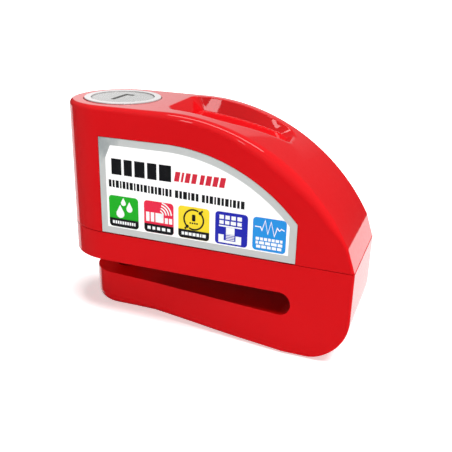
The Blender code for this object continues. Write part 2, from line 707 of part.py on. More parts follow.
def build_battery():
    start = CELL_START_X - 1.1
    end = CELL_START_X + 3 * CELL_PITCH + 0.9
    holder = add_solid("battery_holder", box((start - 0.8, end + 0.8), (-12.2, 12.2), (27.3, 33.2)),
                       "black_plastic")
    combine(holder, "DIFFERENCE", [
        cylinder("X", (side * CELL_Y, CELL_Z), CELL_RADIUS + 0.2, start, end, 24) for side in (-1, 1)
    ])
    for side, row in ((-1, "front"), (1, "rear")):
        for i in range(3):
            low = CELL_START_X + CELL_PITCH * i
            add_solid(f"battery_cell_{row}_{i + 1}",
                      cylinder("X", (side * CELL_Y, CELL_Z), CELL_RADIUS, low, low + CELL_LENGTH, 20),
                      "bright_steel")
    contact_y, contact_z = (-10.6, 10.6), (33.5, 37.5)
    add_solid("battery_link_plate", box((end - 0.6, end - 0.2), contact_y, contact_z), "plain_steel")
    for side, row in ((-1, "front"), (1, "rear")):
        y = sorted((side * 1.4, side * 10.6))
        add_solid(f"battery_contact_{row}", box((start + 0.2, start + 0.6), y, contact_z), "brass")


def build_label():
    outline = label_outline(margin=0.1)
    outer = -HALF_WIDTH
    add_solid("front_label", prism(outline, "Y", outer, outer + LABEL_THICKNESS), "label")


def main():
    clear_scene()
    axis = bpy.data.objects.new("lock_axis", None)
    axis.location = (LOCK_AXIS_X * MM, 0, 0)
    bpy.context.scene.collection.objects.link(axis)
    build_upper_housing()
    build_lower_body()
    build_label()
    build_barrel()
    build_plug()
    build_cam()
    build_pin()
    build_spring()
    build_seals_and_seats()
    build_screws()
    build_siren()
    build_board()
    build_battery()


main()
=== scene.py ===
"""Looks of the alarm disc brake lock: glossy red castings, a bright push lock and a printed label.

Shapes are worked out in millimetres, with X measured from the lock axis, and become
metres in the frame's coordinates when a piece is made.
"""
import json
import math

import bmesh
import bpy
from mathutils import Matrix, Vector
from mathutils.geometry import delaunay_2d_cdt
from mathutils.kdtree import KDTree


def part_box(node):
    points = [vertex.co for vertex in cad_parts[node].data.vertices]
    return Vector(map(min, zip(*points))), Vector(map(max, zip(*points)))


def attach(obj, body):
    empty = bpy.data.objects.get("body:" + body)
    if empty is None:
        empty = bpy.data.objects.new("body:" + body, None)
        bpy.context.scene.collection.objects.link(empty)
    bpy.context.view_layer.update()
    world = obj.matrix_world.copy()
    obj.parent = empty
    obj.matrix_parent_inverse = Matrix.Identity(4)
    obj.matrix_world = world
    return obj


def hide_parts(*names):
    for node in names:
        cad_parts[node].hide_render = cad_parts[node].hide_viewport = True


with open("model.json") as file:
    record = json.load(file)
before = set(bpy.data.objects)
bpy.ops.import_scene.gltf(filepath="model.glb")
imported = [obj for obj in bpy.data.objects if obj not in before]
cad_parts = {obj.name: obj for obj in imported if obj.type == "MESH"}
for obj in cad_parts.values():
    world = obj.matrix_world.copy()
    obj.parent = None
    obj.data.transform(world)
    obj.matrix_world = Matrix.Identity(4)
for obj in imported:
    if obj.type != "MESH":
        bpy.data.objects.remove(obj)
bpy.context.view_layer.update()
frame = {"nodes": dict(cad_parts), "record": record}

MM = 0.001
SHARP_ANGLE = math.radians(40.0)
KNOWN_ANGLE = math.radians(24.0)
SAME_PLACE = 1e-4


def cad_mm(node):
    """A CAD node's lowest and highest corners, in millimetres."""
    low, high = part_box(node)
    return low / MM, high / MM


barrel_low, barrel_high = cad_mm("barrel")
upper_low, upper_high = cad_mm("upper_housing")
_, lower_high = cad_mm("lower_body")
plug_low, plug_high = cad_mm("plug")
pin_low, pin_high = cad_mm("locking_pin")
label_low, label_high = cad_mm("front_label")

AXIS_X = (barrel_low.x + barrel_high.x) / 2
HALF_WIDTH = (upper_high.y - upper_low.y) / 2
HEIGHT = upper_high.z
UPPER_Z = upper_low.z
SEAM_Z = lower_high.z
LOCK_TO_END = lower_high.x - AXIS_X
FLAT_TOP_END = 20.0
ROOF_RADIUS = 57.7
ROOF_CENTRE_Z = HEIGHT - ROOF_RADIUS
ROOF_END_ANGLE = math.radians(61.0)
UPPER_END_X = 72.6
BARREL_RADIUS = (barrel_high.x - barrel_low.x) / 2
BORE_RADIUS = BARREL_RADIUS + 0.15
COUNTERBORE_RADIUS = 13.0
LEDGE_Z = 46.0
PLUG_RADIUS = (plug_high.x - plug_low.x) / 2
KEYWAY_X = -0.9
KEYWAY_HALF_LENGTH = 4.5
PIN_RADIUS = (pin_high.x - pin_low.x) / 2

SLOT_FLOOR_Z = 11.4
SLOT_ROOF_Z = 18.2
SLOT_END_X = 56.6
JAW_NOSE_RADIUS = 9.2
JAW_HALF_WIDTHS = ((0.0, JAW_NOSE_RADIUS), (13.0, 10.1), (55.0, HALF_WIDTH))
JAW_FILLETS = ((0.0, 4.0), (12.0, 5.4), (24.0, 4.2), (38.0, 2.4), (55.0, 1.2))
END_CORNER_RADIUS = 12.8

SCOOP_TOP = (
    (17.4, -8.7, 3.7), (33.5, -9.6, 14.0), (49.8, 1.8, 3.0),
    (48.8, 12.0, 4.5), (16.8, 12.0, 2.5),
)
SCOOP_FOOT = (
    (20.5, -6.8, 2.5), (32.8, -6.4, 10.0), (47.0, 4.6, 1.5),
    (47.0, 10.4, 4.0), (20.5, 10.4, 0.6),
)
SCOOP_START = (20.5, HEIGHT - 3.9)
SCOOP_FLOOR_RADIUS = 109.0
SCOOP_FLOOR_SLOPE = 0.07
SCOOP_EDGE_ROUND = 0.35
SCOOP_FRONT_ROUND = 0.9
SCREWS = ((18.8, -10.2), (18.8, 10.2), (41.2, 0.0))


# Materials

class Nodes:
    """Short hand for the nodes of a material or a world."""

    def __init__(self, owner, bare=False):
        self.owner = owner
        owner.use_nodes = True
        self.tree = owner.node_tree
        if bare:
            self.tree.nodes.clear()
        self.shader = self.tree.nodes.get("Principled BSDF")
        self.place = self.add("TexCoord").outputs
        self.coordinates = self.place["Object"]

    def add(self, kind, links=(), **values):
        node = self.tree.nodes.new("ShaderNode" + kind)
        for key, value in values.items():
            if hasattr(node, key):
                setattr(node, key, value)
            else:
                node.inputs[key.replace("_", " ")].default_value = value
        for key, source in dict(links).items():
            self.tree.links.new(source, node.inputs[key])
        return node

    def set(self, **values):
        for key, value in values.items():
            self.shader.inputs[key.replace("_", " ")].default_value = value

    def link(self, source, socket):
        self.tree.links.new(source, self.shader.inputs[socket])

    def math(self, operation, first, second, clamp=False):
        return self.add("Math", {0: first, 1: second}, operation=operation, use_clamp=clamp).outputs[0]

    def stretched(self, scale):
        return self.add("Mapping", {"Vector": self.coordinates}, Scale=scale).outputs[0]

    def noise(self, scale, detail=2.0, vector=None):
        return self.add("TexNoise", {"Vector": vector or self.coordinates},
                        Scale=scale, Detail=detail).outputs["Fac"]

    def ramp(self, value, low, high, start=0.0, end=1.0):
        """Map a value from start..end onto low..high."""
        node = self.add("MapRange", {"Value": value}, From_Min=start, From_Max=end, To_Min=low, To_Max=high)
        return node.outputs[0]

    def colour(self, value, low, high):
        """Blend the base colour between two by a 0..1 value."""
        node = self.add("Mix", {0: value}, data_type="RGBA")
        node.inputs[6].default_value = (*low, 1)
        node.inputs[7].default_value = (*high, 1)
        self.link(node.outputs[2], "Base Color")

    def roughness(self, *mapping):
        self.link(self.ramp(*mapping), "Roughness")

    def bump(self, height, distance, strength=1.0):
        node = self.add("Bump", {"Height": height}, Strength=strength, Distance=distance)
        self.link(node.outputs[0], "Normal")


def new_material(name, bare=False):
    return Nodes(bpy.data.materials.new(name), bare)


def shades(colour, low, high):
    """A darker and a lighter shade of a colour."""
    return tuple(c * low for c in colour), tuple(min(c * high, 1.0) for c in colour)


def red_paint(n):
    """Gloss red over a casting."""
    broad = n.noise(45.0)
    fine = n.noise(900.0, 3.0)
    n.colour(broad, (0.61, 0.0013, 0.004), (0.655, 0.0023, 0.0055))
    n.roughness(fine, 0.30, 0.42)
    n.bump(n.noise(380.0, 1.0), 0.000004, 0.2)
    n.set(Specular_IOR_Level=0.05, Coat_Weight=1.0, Coat_Roughness=0.03, Coat_IOR=1.9)


def slot_red_with_painted_shade(n):
    """The same red inside the slot, dull, with painted shade: darker the further in it is."""
    across = n.add("SeparateXYZ", {"Vector": n.coordinates}).outputs["X"]
    # painted shade: a ramp along X that darkens the slot towards its deep end
    depth = n.ramp(across, 0.0, 1.0, -0.038, -0.012)
    cloud = n.noise(160.0, 3.0)
    shade = n.math("ADD", depth, n.ramp(cloud, -0.08, 0.08), clamp=True)
    # painted shade: the red falls to a darker red the deeper into the slot
    n.colour(shade, (0.66, 0.003, 0.008), (0.44, 0.001, 0.001))
    n.roughness(cloud, 0.5, 0.7)
    n.set(Specular_IOR_Level=0.02)


def metal(n, colour, roughness, grain, grain_scale, metallic=1.0, streak=0.05, depth=0.000004):
    """Bare or plated metal with fine scratches along one direction."""
    scratches = n.noise(grain_scale, 4.0, n.stretched(grain))
    cloud = n.noise(60.0)
    n.colour(scratches, *shades(colour, 1 - streak, 1 + streak))
    mixed = n.math("MULTIPLY", scratches, cloud)
    n.roughness(mixed, roughness * 0.8, roughness * 1.35, 0.1, 0.5)
    n.bump(scratches, depth, 0.6)
    n.set(Metallic=metallic)


def plastic(n, colour, roughness, grain=1500.0, depth=0.00001):
    """Moulded plastic, rubber or lacquer with a fine surface grain."""
    grains = n.noise(grain, 3.0)
    cloud = n.noise(120.0)
    n.colour(cloud, *shades(colour, 0.88, 1.12))
    n.roughness(grains, roughness * 0.85, min(roughness * 1.2, 1.0))
    n.bump(grains, depth, 0.5)


def ink(n, colour, roughness=0.32):
    """Printed ink under a clear film, with a faint dot screen in its tone."""
    dots = n.add("TexVoronoi", {"Vector": n.coordinates}, Scale=2600.0).outputs["Distance"]
    cloud = n.noise(260.0)
    value = n.math("MULTIPLY", dots, cloud)
    n.colour(value, colour, tuple(min(c * 0.9 + 0.012, 1.0) for c in colour))
    n.roughness(cloud, roughness * 0.8, roughness * 1.2)
    n.set(Specular_IOR_Level=0.3)


def glass(n):
    n.colour(n.noise(200.0), (0.70, 0.78, 0.72), (0.78, 0.84, 0.80))
    n.roughness(n.noise(800.0), 0.04, 0.1)
    n.set(Transmission_Weight=0.85, IOR=1.5)


def foil(n):
    """Silver foil under the print, darker towards its upper left corner."""
    corner = n.add("VectorMath", {0: n.coordinates}, operation="DISTANCE")
    corner.inputs[1].default_value = (label_low.x * MM + 0.0008, label_low.y * MM, label_high.z * MM - 0.0015)
    cloud = n.noise(500.0, 3.0)
    streaks = n.noise(300.0, 2.0, n.stretched((1, 1, 6)))
    reach = n.ramp(corner.outputs["Value"], 0.0, 1.0, 0.0015, 0.0075)
    clouded = n.math("ADD", reach, cloud)
    shade = n.ramp(clouded, 0.0, 1.0, -0.1, 1.2)
    n.colour(shade, (0.12, 0.17, 0.19), (0.64, 0.66, 0.65))
    n.roughness(streaks, 0.35, 0.55)
    n.bump(streaks, 0.000003, 0.5)
    n.set(Metallic=0.25, Specular_IOR_Level=0.4)


FINISHES = {
    "red_paint": (red_paint,),
    "slot_red_with_painted_shade": (slot_red_with_painted_shade,),
    "polished_steel": (metal, (0.84, 0.80, 0.80), 0.16, (1, 1, 1), 700.0, 0.5),
    "brushed_steel": (metal, (0.77, 0.765, 0.755), 0.26, (1, 9, 1), 260.0, 0.75, 0.04, 0.000002),
    "hardened_pin": (metal, (0.56, 0.56, 0.57), 0.24, (1, 1, 14), 120.0),
    "plain_steel": (metal, (0.52, 0.53, 0.55), 0.32, (1, 1, 1), 500.0),
    "spring_steel": (metal, (0.40, 0.41, 0.43), 0.30, (1, 1, 6), 300.0),
    "brass": (metal, (0.72, 0.52, 0.22), 0.28, (6, 1, 1), 300.0),
    "aluminium_can": (metal, (0.74, 0.75, 0.76), 0.30, (1, 1, 8), 300.0),
    "cell_can": (metal, (0.66, 0.66, 0.64), 0.22, (8, 1, 1), 260.0),
    "black_rubber": (plastic, (0.012, 0.012, 0.012), 0.75, 900.0, 0.00003),
    "black_plastic": (plastic, (0.02, 0.02, 0.022), 0.5),
    "green_board": (plastic, (0.01, 0.11, 0.045), 0.35),
    "membrane": (plastic, (0.62, 0.62, 0.60), 0.85, 2400.0, 0.00005),
    "dark_well": (plastic, (0.03, 0.03, 0.03), 0.6),
    "white_ink": (ink, (1.0, 1.0, 0.995), 0.3),
    "icon_white": (ink, (0.86, 0.88, 0.88), 0.3),
    "black_ink": (ink, (0.006, 0.006, 0.008)),
    "red_ink": (ink, (0.62, 0.006, 0.03)),
    "green_ink": (ink, (0.0, 0.42, 0.004)),
    "crimson_ink": (ink, (0.78, 0.007, 0.05)),
    "yellow_ink": (ink, (0.86, 0.66, 0.008)),
    "navy_ink": (ink, (0.001, 0.006, 0.42)),
    "blue_ink": (ink, (0.0, 0.26, 0.72)),
    "glass": (glass,),
    "foil": (foil,),
}
MATERIALS = {}
for name, (make, *values) in FINISHES.items():
    nodes = new_material(name)
    make(nodes, *values)
    MATERIALS[name] = nodes.owner


# Mesh helpers

def add_object(name, data):
    obj = bpy.data.objects.new(name, data)
    bpy.context.scene.collection.objects.link(obj)
    return obj


def new_object(name, bm):
    bmesh.ops.recalc_face_normals(bm, faces=bm.faces)
    mesh = bpy.data.meshes.new(name)
    bm.to_mesh(mesh)
    bm.free()
    return add_object(name, mesh)


def bake_modifiers(obj):
    """Apply all of the object's modifiers."""
    graph = bpy.context.evaluated_depsgraph_get()
    graph.update()
    mesh = bpy.data.meshes.new_from_object(obj.evaluated_get(graph), depsgraph=graph)
    obj.modifiers.clear()
    old = obj.data
    obj.data = mesh
    bpy.data.meshes.remove(old)
    mesh.name = obj.name


def cut(obj, cutters, operation="DIFFERENCE"):
    """Cut a list of bmeshes or objects out of the object, or unite them with it."""
    tools = []
    for index, cutter in enumerate(cutters):
        if isinstance(cutter, bmesh.types.BMesh):
            cutter = new_object(f"{obj.name}_cut_{index}", cutter)
        modifier = obj.modifiers.new(cutter.name, "BOOLEAN")
        modifier.operation = operation
        modifier.solver = "EXACT"
        modifier.object = cutter
        tools.append(cutter)
    bake_modifiers(obj)
    for tool in tools:
        bpy.data.meshes.remove(tool.data)
    return obj


def bevel(obj, width, segments, share=lambda point: 1.0):
    """Round the sharp edges; share scales the width by an edge's place."""
    bm = bmesh.new()
    bm.from_mesh(obj.data)
    weight = bm.edges.layers.float.new("bevel_weight_edge")
    for edge in bm.edges:
        sharp = edge.calc_face_angle(0.0) > SHARP_ANGLE
        edge[weight] = share((edge.verts[0].co + edge.verts[1].co) / 2) if sharp else 0.0
    bm.to_mesh(obj.data)
    bm.free()
    modifier = obj.modifiers.new("edges", "BEVEL")
    modifier.width = width
    modifier.segments = segments
    modifier.limit_method = "WEIGHT"
    bake_modifiers(obj)


def set_normals(mesh, known):
    """Area-weighted corner normals that stop at sharp edges, or the known surface normals."""
    tree = KDTree(len(known))
    for index, (place, _) in enumerate(known):
        tree.insert(place, index)
    tree.balance()
    exact = []
    for vertex in mesh.vertices:
        _, index, distance = tree.find(vertex.co)
        exact.append(known[index][1] if known and distance < SAME_PLACE else None)
    around = [[] for _ in mesh.vertices]
    for polygon in mesh.polygons:
        for vertex in polygon.vertices:
            around[vertex].append((Vector(polygon.normal), max(polygon.area, 1e-9)))
    normals = []
    for polygon in mesh.polygons:
        own = Vector(polygon.normal)
        for vertex in polygon.vertices:
            normal = exact[vertex]
            if normal is None or normal.dot(own) <= math.cos(KNOWN_ANGLE):
                total = Vector()
                for direction, area in around[vertex]:
                    if direction.dot(own) > math.cos(SHARP_ANGLE):
                        total += direction * area
                normal = total.normalized() if total.length else own
            normals.append(normal)
    mesh.shade_smooth()
    mesh.normals_split_custom_set(normals)


def finish_piece(obj, body, material, replaces=(), known=()):
    """Shade a millimetre piece, move it into the frame and let it ride on its body."""
    mesh = obj.data
    mesh.materials.clear()
    mesh.materials.append(MATERIALS[material])
    set_normals(mesh, known)
    mesh.transform(Matrix.Scale(MM, 4) @ Matrix.Translation((AXIS_X, 0, 0)))
    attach(obj, body)
    if replaces:
        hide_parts(*replaces)


def loft(rings, closed=False, bm=None):
    """Join equal rings of points in order, capping the two ends unless closed."""
    if bm is None:
        bm = bmesh.new()
    loops = [[bm.verts.new(point) for point in ring] for ring in rings]
    pairs = list(zip(loops, loops[1:]))
    if closed:
        pairs.append((loops[-1], loops[0]))
    else:
        bm.faces.new(loops[0])
        bm.faces.new(loops[-1])
    for low, high in pairs:
        for i in range(len(low)):
            j = (i + 1) % len(low)
            bm.faces.new((low[i], low[j], high[j], high[i]))
    return bm


def prism(outline, axis, low, high, bm=None):
    """Extrude a 2-D outline along an axis; its own two axes are the others, in order."""
    def place(point, level):
        return {"X": (level, *point), "Y": (point[0], level, point[1]), "Z": (*point, level)}[axis]
    return loft([[place(point, level) for point in outline] for level in (low, high)], bm=bm)


def polar(centre, radius, degrees):
    angle = math.radians(degrees)
    return centre[0] + radius * math.cos(angle), centre[1] + radius * math.sin(angle)


def evenly(start, end, steps):
    """Numbers from start to end in equal steps."""
    return [start + (end - start) * k / steps for k in range(steps + 1)]


def arc(centre, radius, start, end, steps):
    """Points along an arc between two angles in degrees."""
    return [polar(centre, radius, angle) for angle in evenly(start, end, steps)]


def circle(centre, radius, count):
    step = 2 * math.pi / count
    return [(centre[0] + radius * math.cos(i * step), centre[1] + radius * math.sin(i * step))
            for i in range(count)]


def cylinder(axis, centre, radius, low, high, count=48):
    return prism(circle(centre, radius, count), axis, low, high)


def box(x, y, z):
    return prism([(x[0], y[0]), (x[1], y[0]), (x[1], y[1]), (x[0], y[1])], "Z", *z)


def turned(profile, count):
    """Turn (radius, height) points about the lock axis; a radius of 0 closes an end."""
    closed = profile[0][0] > 0
    points = profile if closed else profile[1:-1]
    rings = [[(*p, height) for p in circle((0, 0), radius, count)] for radius, height in points]
    return loft(rings, closed=closed)


def curve(a, b, c, t):
    """A point on the curve from a to c that bends towards b."""
    return a * (1 - t) ** 2 + b * 2 * t * (1 - t) + c * t * t


def rounded(points, radius, steps=4):
    """Round the corners of an open line of 2-D points."""
    out = [Vector(points[0])]
    for before, here, after in zip(points, points[1:], points[2:]):
        here = Vector(here)
        a, b = Vector(before) - here, Vector(after) - here
        reach = min(radius, a.length * 0.49, b.length * 0.49)
        start, end = here + a.normalized() * reach, here + b.normalized() * reach
        out += [curve(start, here, end, k / steps) for k in range(steps + 1)]
    out.append(Vector(points[-1]))
    return [tuple(p) for p in out]


def rounded_outline(corners, steps=4, side_steps=1):
    """A closed outline with (x, y, radius) corners and sides in equal steps."""
    bends = []
    for last, (x, y, radius), following in zip(corners[-1:] + corners, corners, corners[1:] + corners[:1]):
        here = Vector((x, y))
        before = (Vector(last[:2]) - here).normalized()
        after = (Vector(following[:2]) - here).normalized()
        half = before.angle(after) / 2
        centre = here + (before + after).normalized() * radius / math.sin(half)
        start = here + before * radius / math.tan(half) - centre
        end = here + after * radius / math.tan(half) - centre
        sweep = start.angle_signed(end)
        bend = []
        for k in range(steps + 1):
            angle = -sweep * k / steps
            arm = Vector((start.x * math.cos(angle) - start.y * math.sin(angle),
                          start.x * math.sin(angle) + start.y * math.cos(angle)))
            bend.append(centre + arm)
        bends.append(bend)
    outline = []
    for bend, following in zip(bends, bends[1:] + bends[:1]):
        outline += bend
        outline += [bend[-1].lerp(following[0], k / side_steps) for k in range(1, side_steps)]
    return [tuple(point) for point in outline]


def rounded_box(x0, x1, y0, y1, radius, steps=6):
    return rounded_outline([(x0, y0, radius), (x1, y0, radius), (x1, y1, radius), (x0, y1, radius)], steps)


# Upper housing

def over_arch(radius, angle):
    """(x, z) on a circle about the roof arch's centre, at an angle from upright."""
    return FLAT_TOP_END + radius * math.sin(angle), ROOF_CENTRE_Z + radius * math.cos(angle)


END_SLOPE_X, END_SLOPE_Z = over_arch(ROOF_RADIUS, ROOF_END_ANGLE)
END_ANGLE = math.atan2(END_SLOPE_Z - UPPER_Z, UPPER_END_X - END_SLOPE_X)
SHELL_BOTTOM_Z = UPPER_Z - 3.0


def roof_point(s):
    """(x, z, slope) at a distance along the roof, which is x on the flat top."""
    if s <= FLAT_TOP_END:
        return s, HEIGHT, 0.0
    slope = (s - FLAT_TOP_END) / ROOF_RADIUS
    if slope <= ROOF_END_ANGLE:
        return (*over_arch(ROOF_RADIUS, slope), slope)
    run = (slope - ROOF_END_ANGLE) * ROOF_RADIUS
    return END_SLOPE_X + run * math.cos(END_ANGLE), END_SLOPE_Z - run * math.sin(END_ANGLE), END_ANGLE


ROOF_ARC_END = FLAT_TOP_END + ROOF_RADIUS * ROOF_END_ANGLE
ROOF_END_S = ROOF_ARC_END + (END_SLOPE_Z - SHELL_BOTTOM_Z) / math.sin(END_ANGLE)
RIM_KNOTS = ((0.0, 1.4), (30.0, 2.0), (58.0, 3.1), (72.0, 2.2), (ROOF_ARC_END - 1.0, 0.8), (200.0, 0.8))
BACK_RIM = 0.8
RIM_STEPS = 8
END_STEPS = 28


def eased(low, high, t):
    """Run smoothly from low to high as t goes from 0 to 1."""
    t = min(max(t, 0.0), 1.0)
    return low + (high - low) * t * t * (3 - 2 * t)


def rim_radius(s):
    """The front rim's fillet: it swells along the arch and is crisp on the end face."""
    for (s0, r0), (s1, r1) in zip(RIM_KNOTS, RIM_KNOTS[1:]):
        if s <= s1:
            return eased(r0, r1, (s - s0) / (s1 - s0))


def back_radius(s):
    """The back rim's fillet: full at the tip of the round end, small along the back."""
    return eased(rim_radius(0), BACK_RIM, 1.0 + s / HALF_WIDTH)


def roof_stations():
    """Stations along the roof, close together across the crease above the end face."""
    before, after = ROOF_ARC_END - 0.5, ROOF_ARC_END + 0.5
    stations = evenly(0.0, FLAT_TOP_END, 16)[:-1] + evenly(FLAT_TOP_END, before, 60)[:-1]
    return stations + evenly(before, after, 4)[:-1] + evenly(after, ROOF_END_S, 6)


def roof_normal(s):
    """The roof's outward direction, eased across the crease above the end face."""
    slope = roof_point(s)[2]
    t = min(max((s - (ROOF_ARC_END - 0.5)), 0.0), 1.0)
    if 0.0 < t < 1.0:
        slope = ROOF_END_ANGLE + (END_ANGLE - ROOF_END_ANGLE) * t
    return Vector((math.sin(slope), 0, math.cos(slope)))


def roof_z(x):
    run = max(x - FLAT_TOP_END, 0.0)
    return ROOF_CENTRE_Z + math.sqrt(ROOF_RADIUS ** 2 - run ** 2)


def along_roof(x):
    """Distance along the roof at x, before the end face."""
    run = max(x - FLAT_TOP_END, 0.0)
    return min(x, FLAT_TOP_END) + ROOF_RADIUS * math.asin(run / ROOF_RADIUS)


def scoop_floor_z(x):
    run = x - SCOOP_START[0]
    return SCOOP_START[1] - SCOOP_FLOOR_SLOPE * run - run * run / (2 * SCOOP_FLOOR_RADIUS)


def outline_normals(outline):
    """Outward 2-D directions of a closed anticlockwise outline."""
    out = []
    for before, after in zip(outline[-1:] + outline, outline[1:] + outline[:1]):
        step = (Vector(after) - Vector(before)).normalized()
        out.append(Vector((step.y, -step.x)))
    return out


def inside(point, outline):
    """Even-odd test of a 2-D point in a closed outline."""
    x, y = point
    hit = False
    for (x0, y0), (x1, y1) in zip(outline, outline[1:] + outline[:1]):
        if (y0 > y) != (y1 > y) and x < (x1 - x0) * (y - y0) / (y1 - y0) + x0:
            hit = not hit
    return hit


def patch(loops, grid, keep):
    """Triangles over the area between closed loops, with grid points inside it."""
    points, edges = [], []
    for loop in loops:
        first = len(points)
        points += [Vector(p) for p in loop]
        edges += [(first + i, first + (i + 1) % len(loop)) for i in range(len(loop))]
    for point in grid:
        if keep(point) and all((Vector(point) - Vector(p)).length > 0.45 for loop in loops for p in loop):
            points.append(Vector(point))
    found, _, faces, *_ = delaunay_2d_cdt(points, edges, [], 0, 1e-6)
    return found, [face for face in faces if keep(sum((found[i] for i in face), Vector((0, 0))) / len(face))]


class Surface:
    """Faces, and the known outward directions of most of their points."""

    def __init__(self):
        self.points, self.known, self.faces = [], [], []

    def add(self, point, normal):
        self.points.append(Vector(point))
        self.known.append((Vector(point), Vector(normal).normalized()))
        return len(self.points) - 1

    def strip(self, rows, closed=False):
        """Quads between neighbouring rows of (point, normal)."""
        indices = [[self.add(*item) for item in row] for row in rows]
        for a, b in zip(indices, indices[1:]):
            count = len(a)
            for i in range(count if closed else count - 1):
                j = (i + 1) % count
                self.faces.append((a[i], a[j], b[j], b[i]))

    def fill(self, points, triangles, place):
        """Triangles over 2-D points, placed by a function that gives (point, normal)."""
        indices = [self.add(*place(p)) for p in points]
        self.faces += [tuple(indices[i] for i in triangle) for triangle in triangles]

    def polygon(self, points):
        first = len(self.points)
        self.points += [Vector(p) for p in points]
        self.faces.append(tuple(range(first, first + len(points))))

    def to_bmesh(self):
        bm = bmesh.new()
        verts = [bm.verts.new(p) for p in self.points]
        for face in self.faces:
            bm.faces.new([verts[i] for i in face])
        bmesh.ops.remove_doubles(bm, verts=bm.verts, dist=2e-4)
        bmesh.ops.recalc_face_normals(bm, faces=bm.faces)
        return bm


def rim_section(base, out, normal, radius):
    """Fillet from the roof (first point) down to the side (last point)."""
    centre = base + out * (HALF_WIDTH - radius) - normal * radius
    section = []
    for k in range(RIM_STEPS + 1):
        angle = math.pi / 2 * k / RIM_STEPS
        direction = out * math.sin(angle) + normal * math.cos(angle)
        section.append((centre + direction * radius, direction))
    return section


def scoop_sections(top, foot):
    """Sections of the scoop's side, from the roof down the wall and onto the floor."""
    steps = 5
    top_out, foot_out = outline_normals(top), outline_normals(foot)
    sections = []
    for (tx, ty), t_out, (fx, fy), f_out in zip(top, top_out, foot, foot_out):
        ease = SCOOP_EDGE_ROUND + SCOOP_FRONT_ROUND * max(0.0, t_out.dot(Vector((0.5, -0.866))))
        edge = Vector((tx, ty, roof_z(tx)))
        crease = Vector((fx, fy, scoop_floor_z(fx)))
        wall = (crease - edge).normalized()
        ax, ay = tx + t_out.x * ease, ty + t_out.y * ease
        dx, dy = fx - f_out.x * SCOOP_EDGE_ROUND, fy - f_out.y * SCOOP_EDGE_ROUND
        start = Vector((ax, ay, roof_z(ax)))
        finish = Vector((dx, dy, scoop_floor_z(dx)))
        depth = (crease - edge).length
        over = edge + wall * min(ease, depth * 0.5)
        under = crease - wall * min(SCOOP_EDGE_ROUND, depth * 0.3)
        section = []
        for a, b, c in ((start, edge, over), (under, crease, finish)):
            for t in evenly(0.0, 1.0, steps):
                section.append((curve(a, b, c, t), ((b - a) * (1 - t) + (c - b) * t).normalized()))
        sections.append(section)
    return sections


def add_scoop(surface, sections):
    """The scoop's side, square to its sections and its outline."""
    rows = []
    for ring in zip(*sections):
        row = []
        for i, (point, along) in enumerate(ring):
            across = ring[(i + 1) % len(ring)][0] - ring[i - 1][0]
            normal = along.cross(across).normalized()
            row.append((point, -normal if normal.z < 0 else normal))
        rows.append(row)
    rows[0] = [(p, roof_normal(along_roof(p.x))) for p, _ in rows[0]]
    rows[-1] = [(p, floor_normal(p.x)) for p, _ in rows[-1]]
    surface.strip(rows, closed=True)


def floor_normal(x):
    return Vector((SCOOP_FLOOR_SLOPE + (x - SCOOP_START[0]) / SCOOP_FLOOR_RADIUS, 0, 1)).normalized()


def shell_surface():
    """The upper housing's outside, to a little below its bottom edge."""
    up = Vector((0, 0, 1))
    stations = roof_stations()

    def rim(side, radius):
        sections = []
        for k in range(END_STEPS):
            angle = math.pi / 2 * k / END_STEPS
            out = Vector((-math.cos(angle), side * math.sin(angle), 0))
            sections.append(rim_section(Vector((0, 0, HEIGHT)), out, up, radius(out.x * HALF_WIDTH)))
        for s in stations:
            x, z, _ = roof_point(s)
            sections.append(rim_section(Vector((x, 0, z)), Vector((0, side, 0)), roof_normal(s), radius(s)))
        return sections

    front, back = rim(-1, rim_radius), rim(1, back_radius)
    surface = Surface()
    surface.strip(front)
    surface.strip(back)

    # Roof patch, between the rims and round the scoop
    edge_front, edge_back = (
        [(section[0][0].x, section[0][0].y) for section in side[:END_STEPS]]
        + [(s, section[0][0].y) for s, section in zip(stations, side[END_STEPS:])]
        for side in (front, back))
    near, far = edge_front[-1][1], edge_back[-1][1]
    end_row = [(stations[-1], y) for y in evenly(near, far, 10)[1:-1]]
    edge_back = edge_back[:0:-1]
    outer = edge_front + end_row + edge_back
    top = rounded_outline(SCOOP_TOP, steps=12, side_steps=26)
    foot = rounded_outline(SCOOP_FOOT, steps=12, side_steps=26)
    sections = scoop_sections(top, foot)
    hole = [(along_roof(section[0][0].x), section[0][0].y) for section in sections]
    grid = [(s, -13.0 + 27.0 * k / 17) for s in stations for k in range(18)]
    grid += [(-14 + 1.4 * i, -13.5 + 1.5 * j) for i in range(10) for j in range(19)]

    def on_roof(point):
        return inside(point, outer) and not inside(point, hole)

    def place(point):
        x, z, _ = roof_point(point[0])
        return Vector((x, point[1], z)), roof_normal(point[0])

    surface.fill(*patch([outer, hole], grid, on_roof), place)
    add_scoop(surface, sections)

    # Scoop floor
    crease = [(section[-1][0].x, section[-1][0].y) for section in sections]
    grid = [(18 + 1.1 * i, -10 + 1.1 * j) for i in range(30) for j in range(21)]

    def on_floor(point):
        return Vector((point[0], point[1], scoop_floor_z(point[0]))), floor_normal(point[0])

    surface.fill(*patch([crease], grid, lambda point: inside(point, crease)), on_floor)

    # Sides and closing faces
    def below(point):
        return Vector((point.x, point.y, SHELL_BOTTOM_Z - 0.5))

    for side in (front, back):
        row = [section[-1] for section in side[:END_STEPS + 1]]
        surface.strip([row, [(below(p), n) for p, n in row]])
        flat = [section[-1][0] for section in side[END_STEPS:]]
        surface.polygon(flat + [below(flat[-1]), below(flat[0])])
    last_front = [p for p, _ in reversed(front[-1])]
    last_back = [p for p, _ in back[-1]]
    corners = [below(last_back[-1]), below(last_front[0])]
    surface.polygon(last_front + [place(point)[0] for point in end_row] + last_back + corners)
    feet = [below(section[-1][0]) for section in front[:END_STEPS + 1]] + [corners[1]]
    surface.polygon(feet + [Vector((p.x, -p.y, p.z)) for p in reversed(feet[1:])])
    return surface


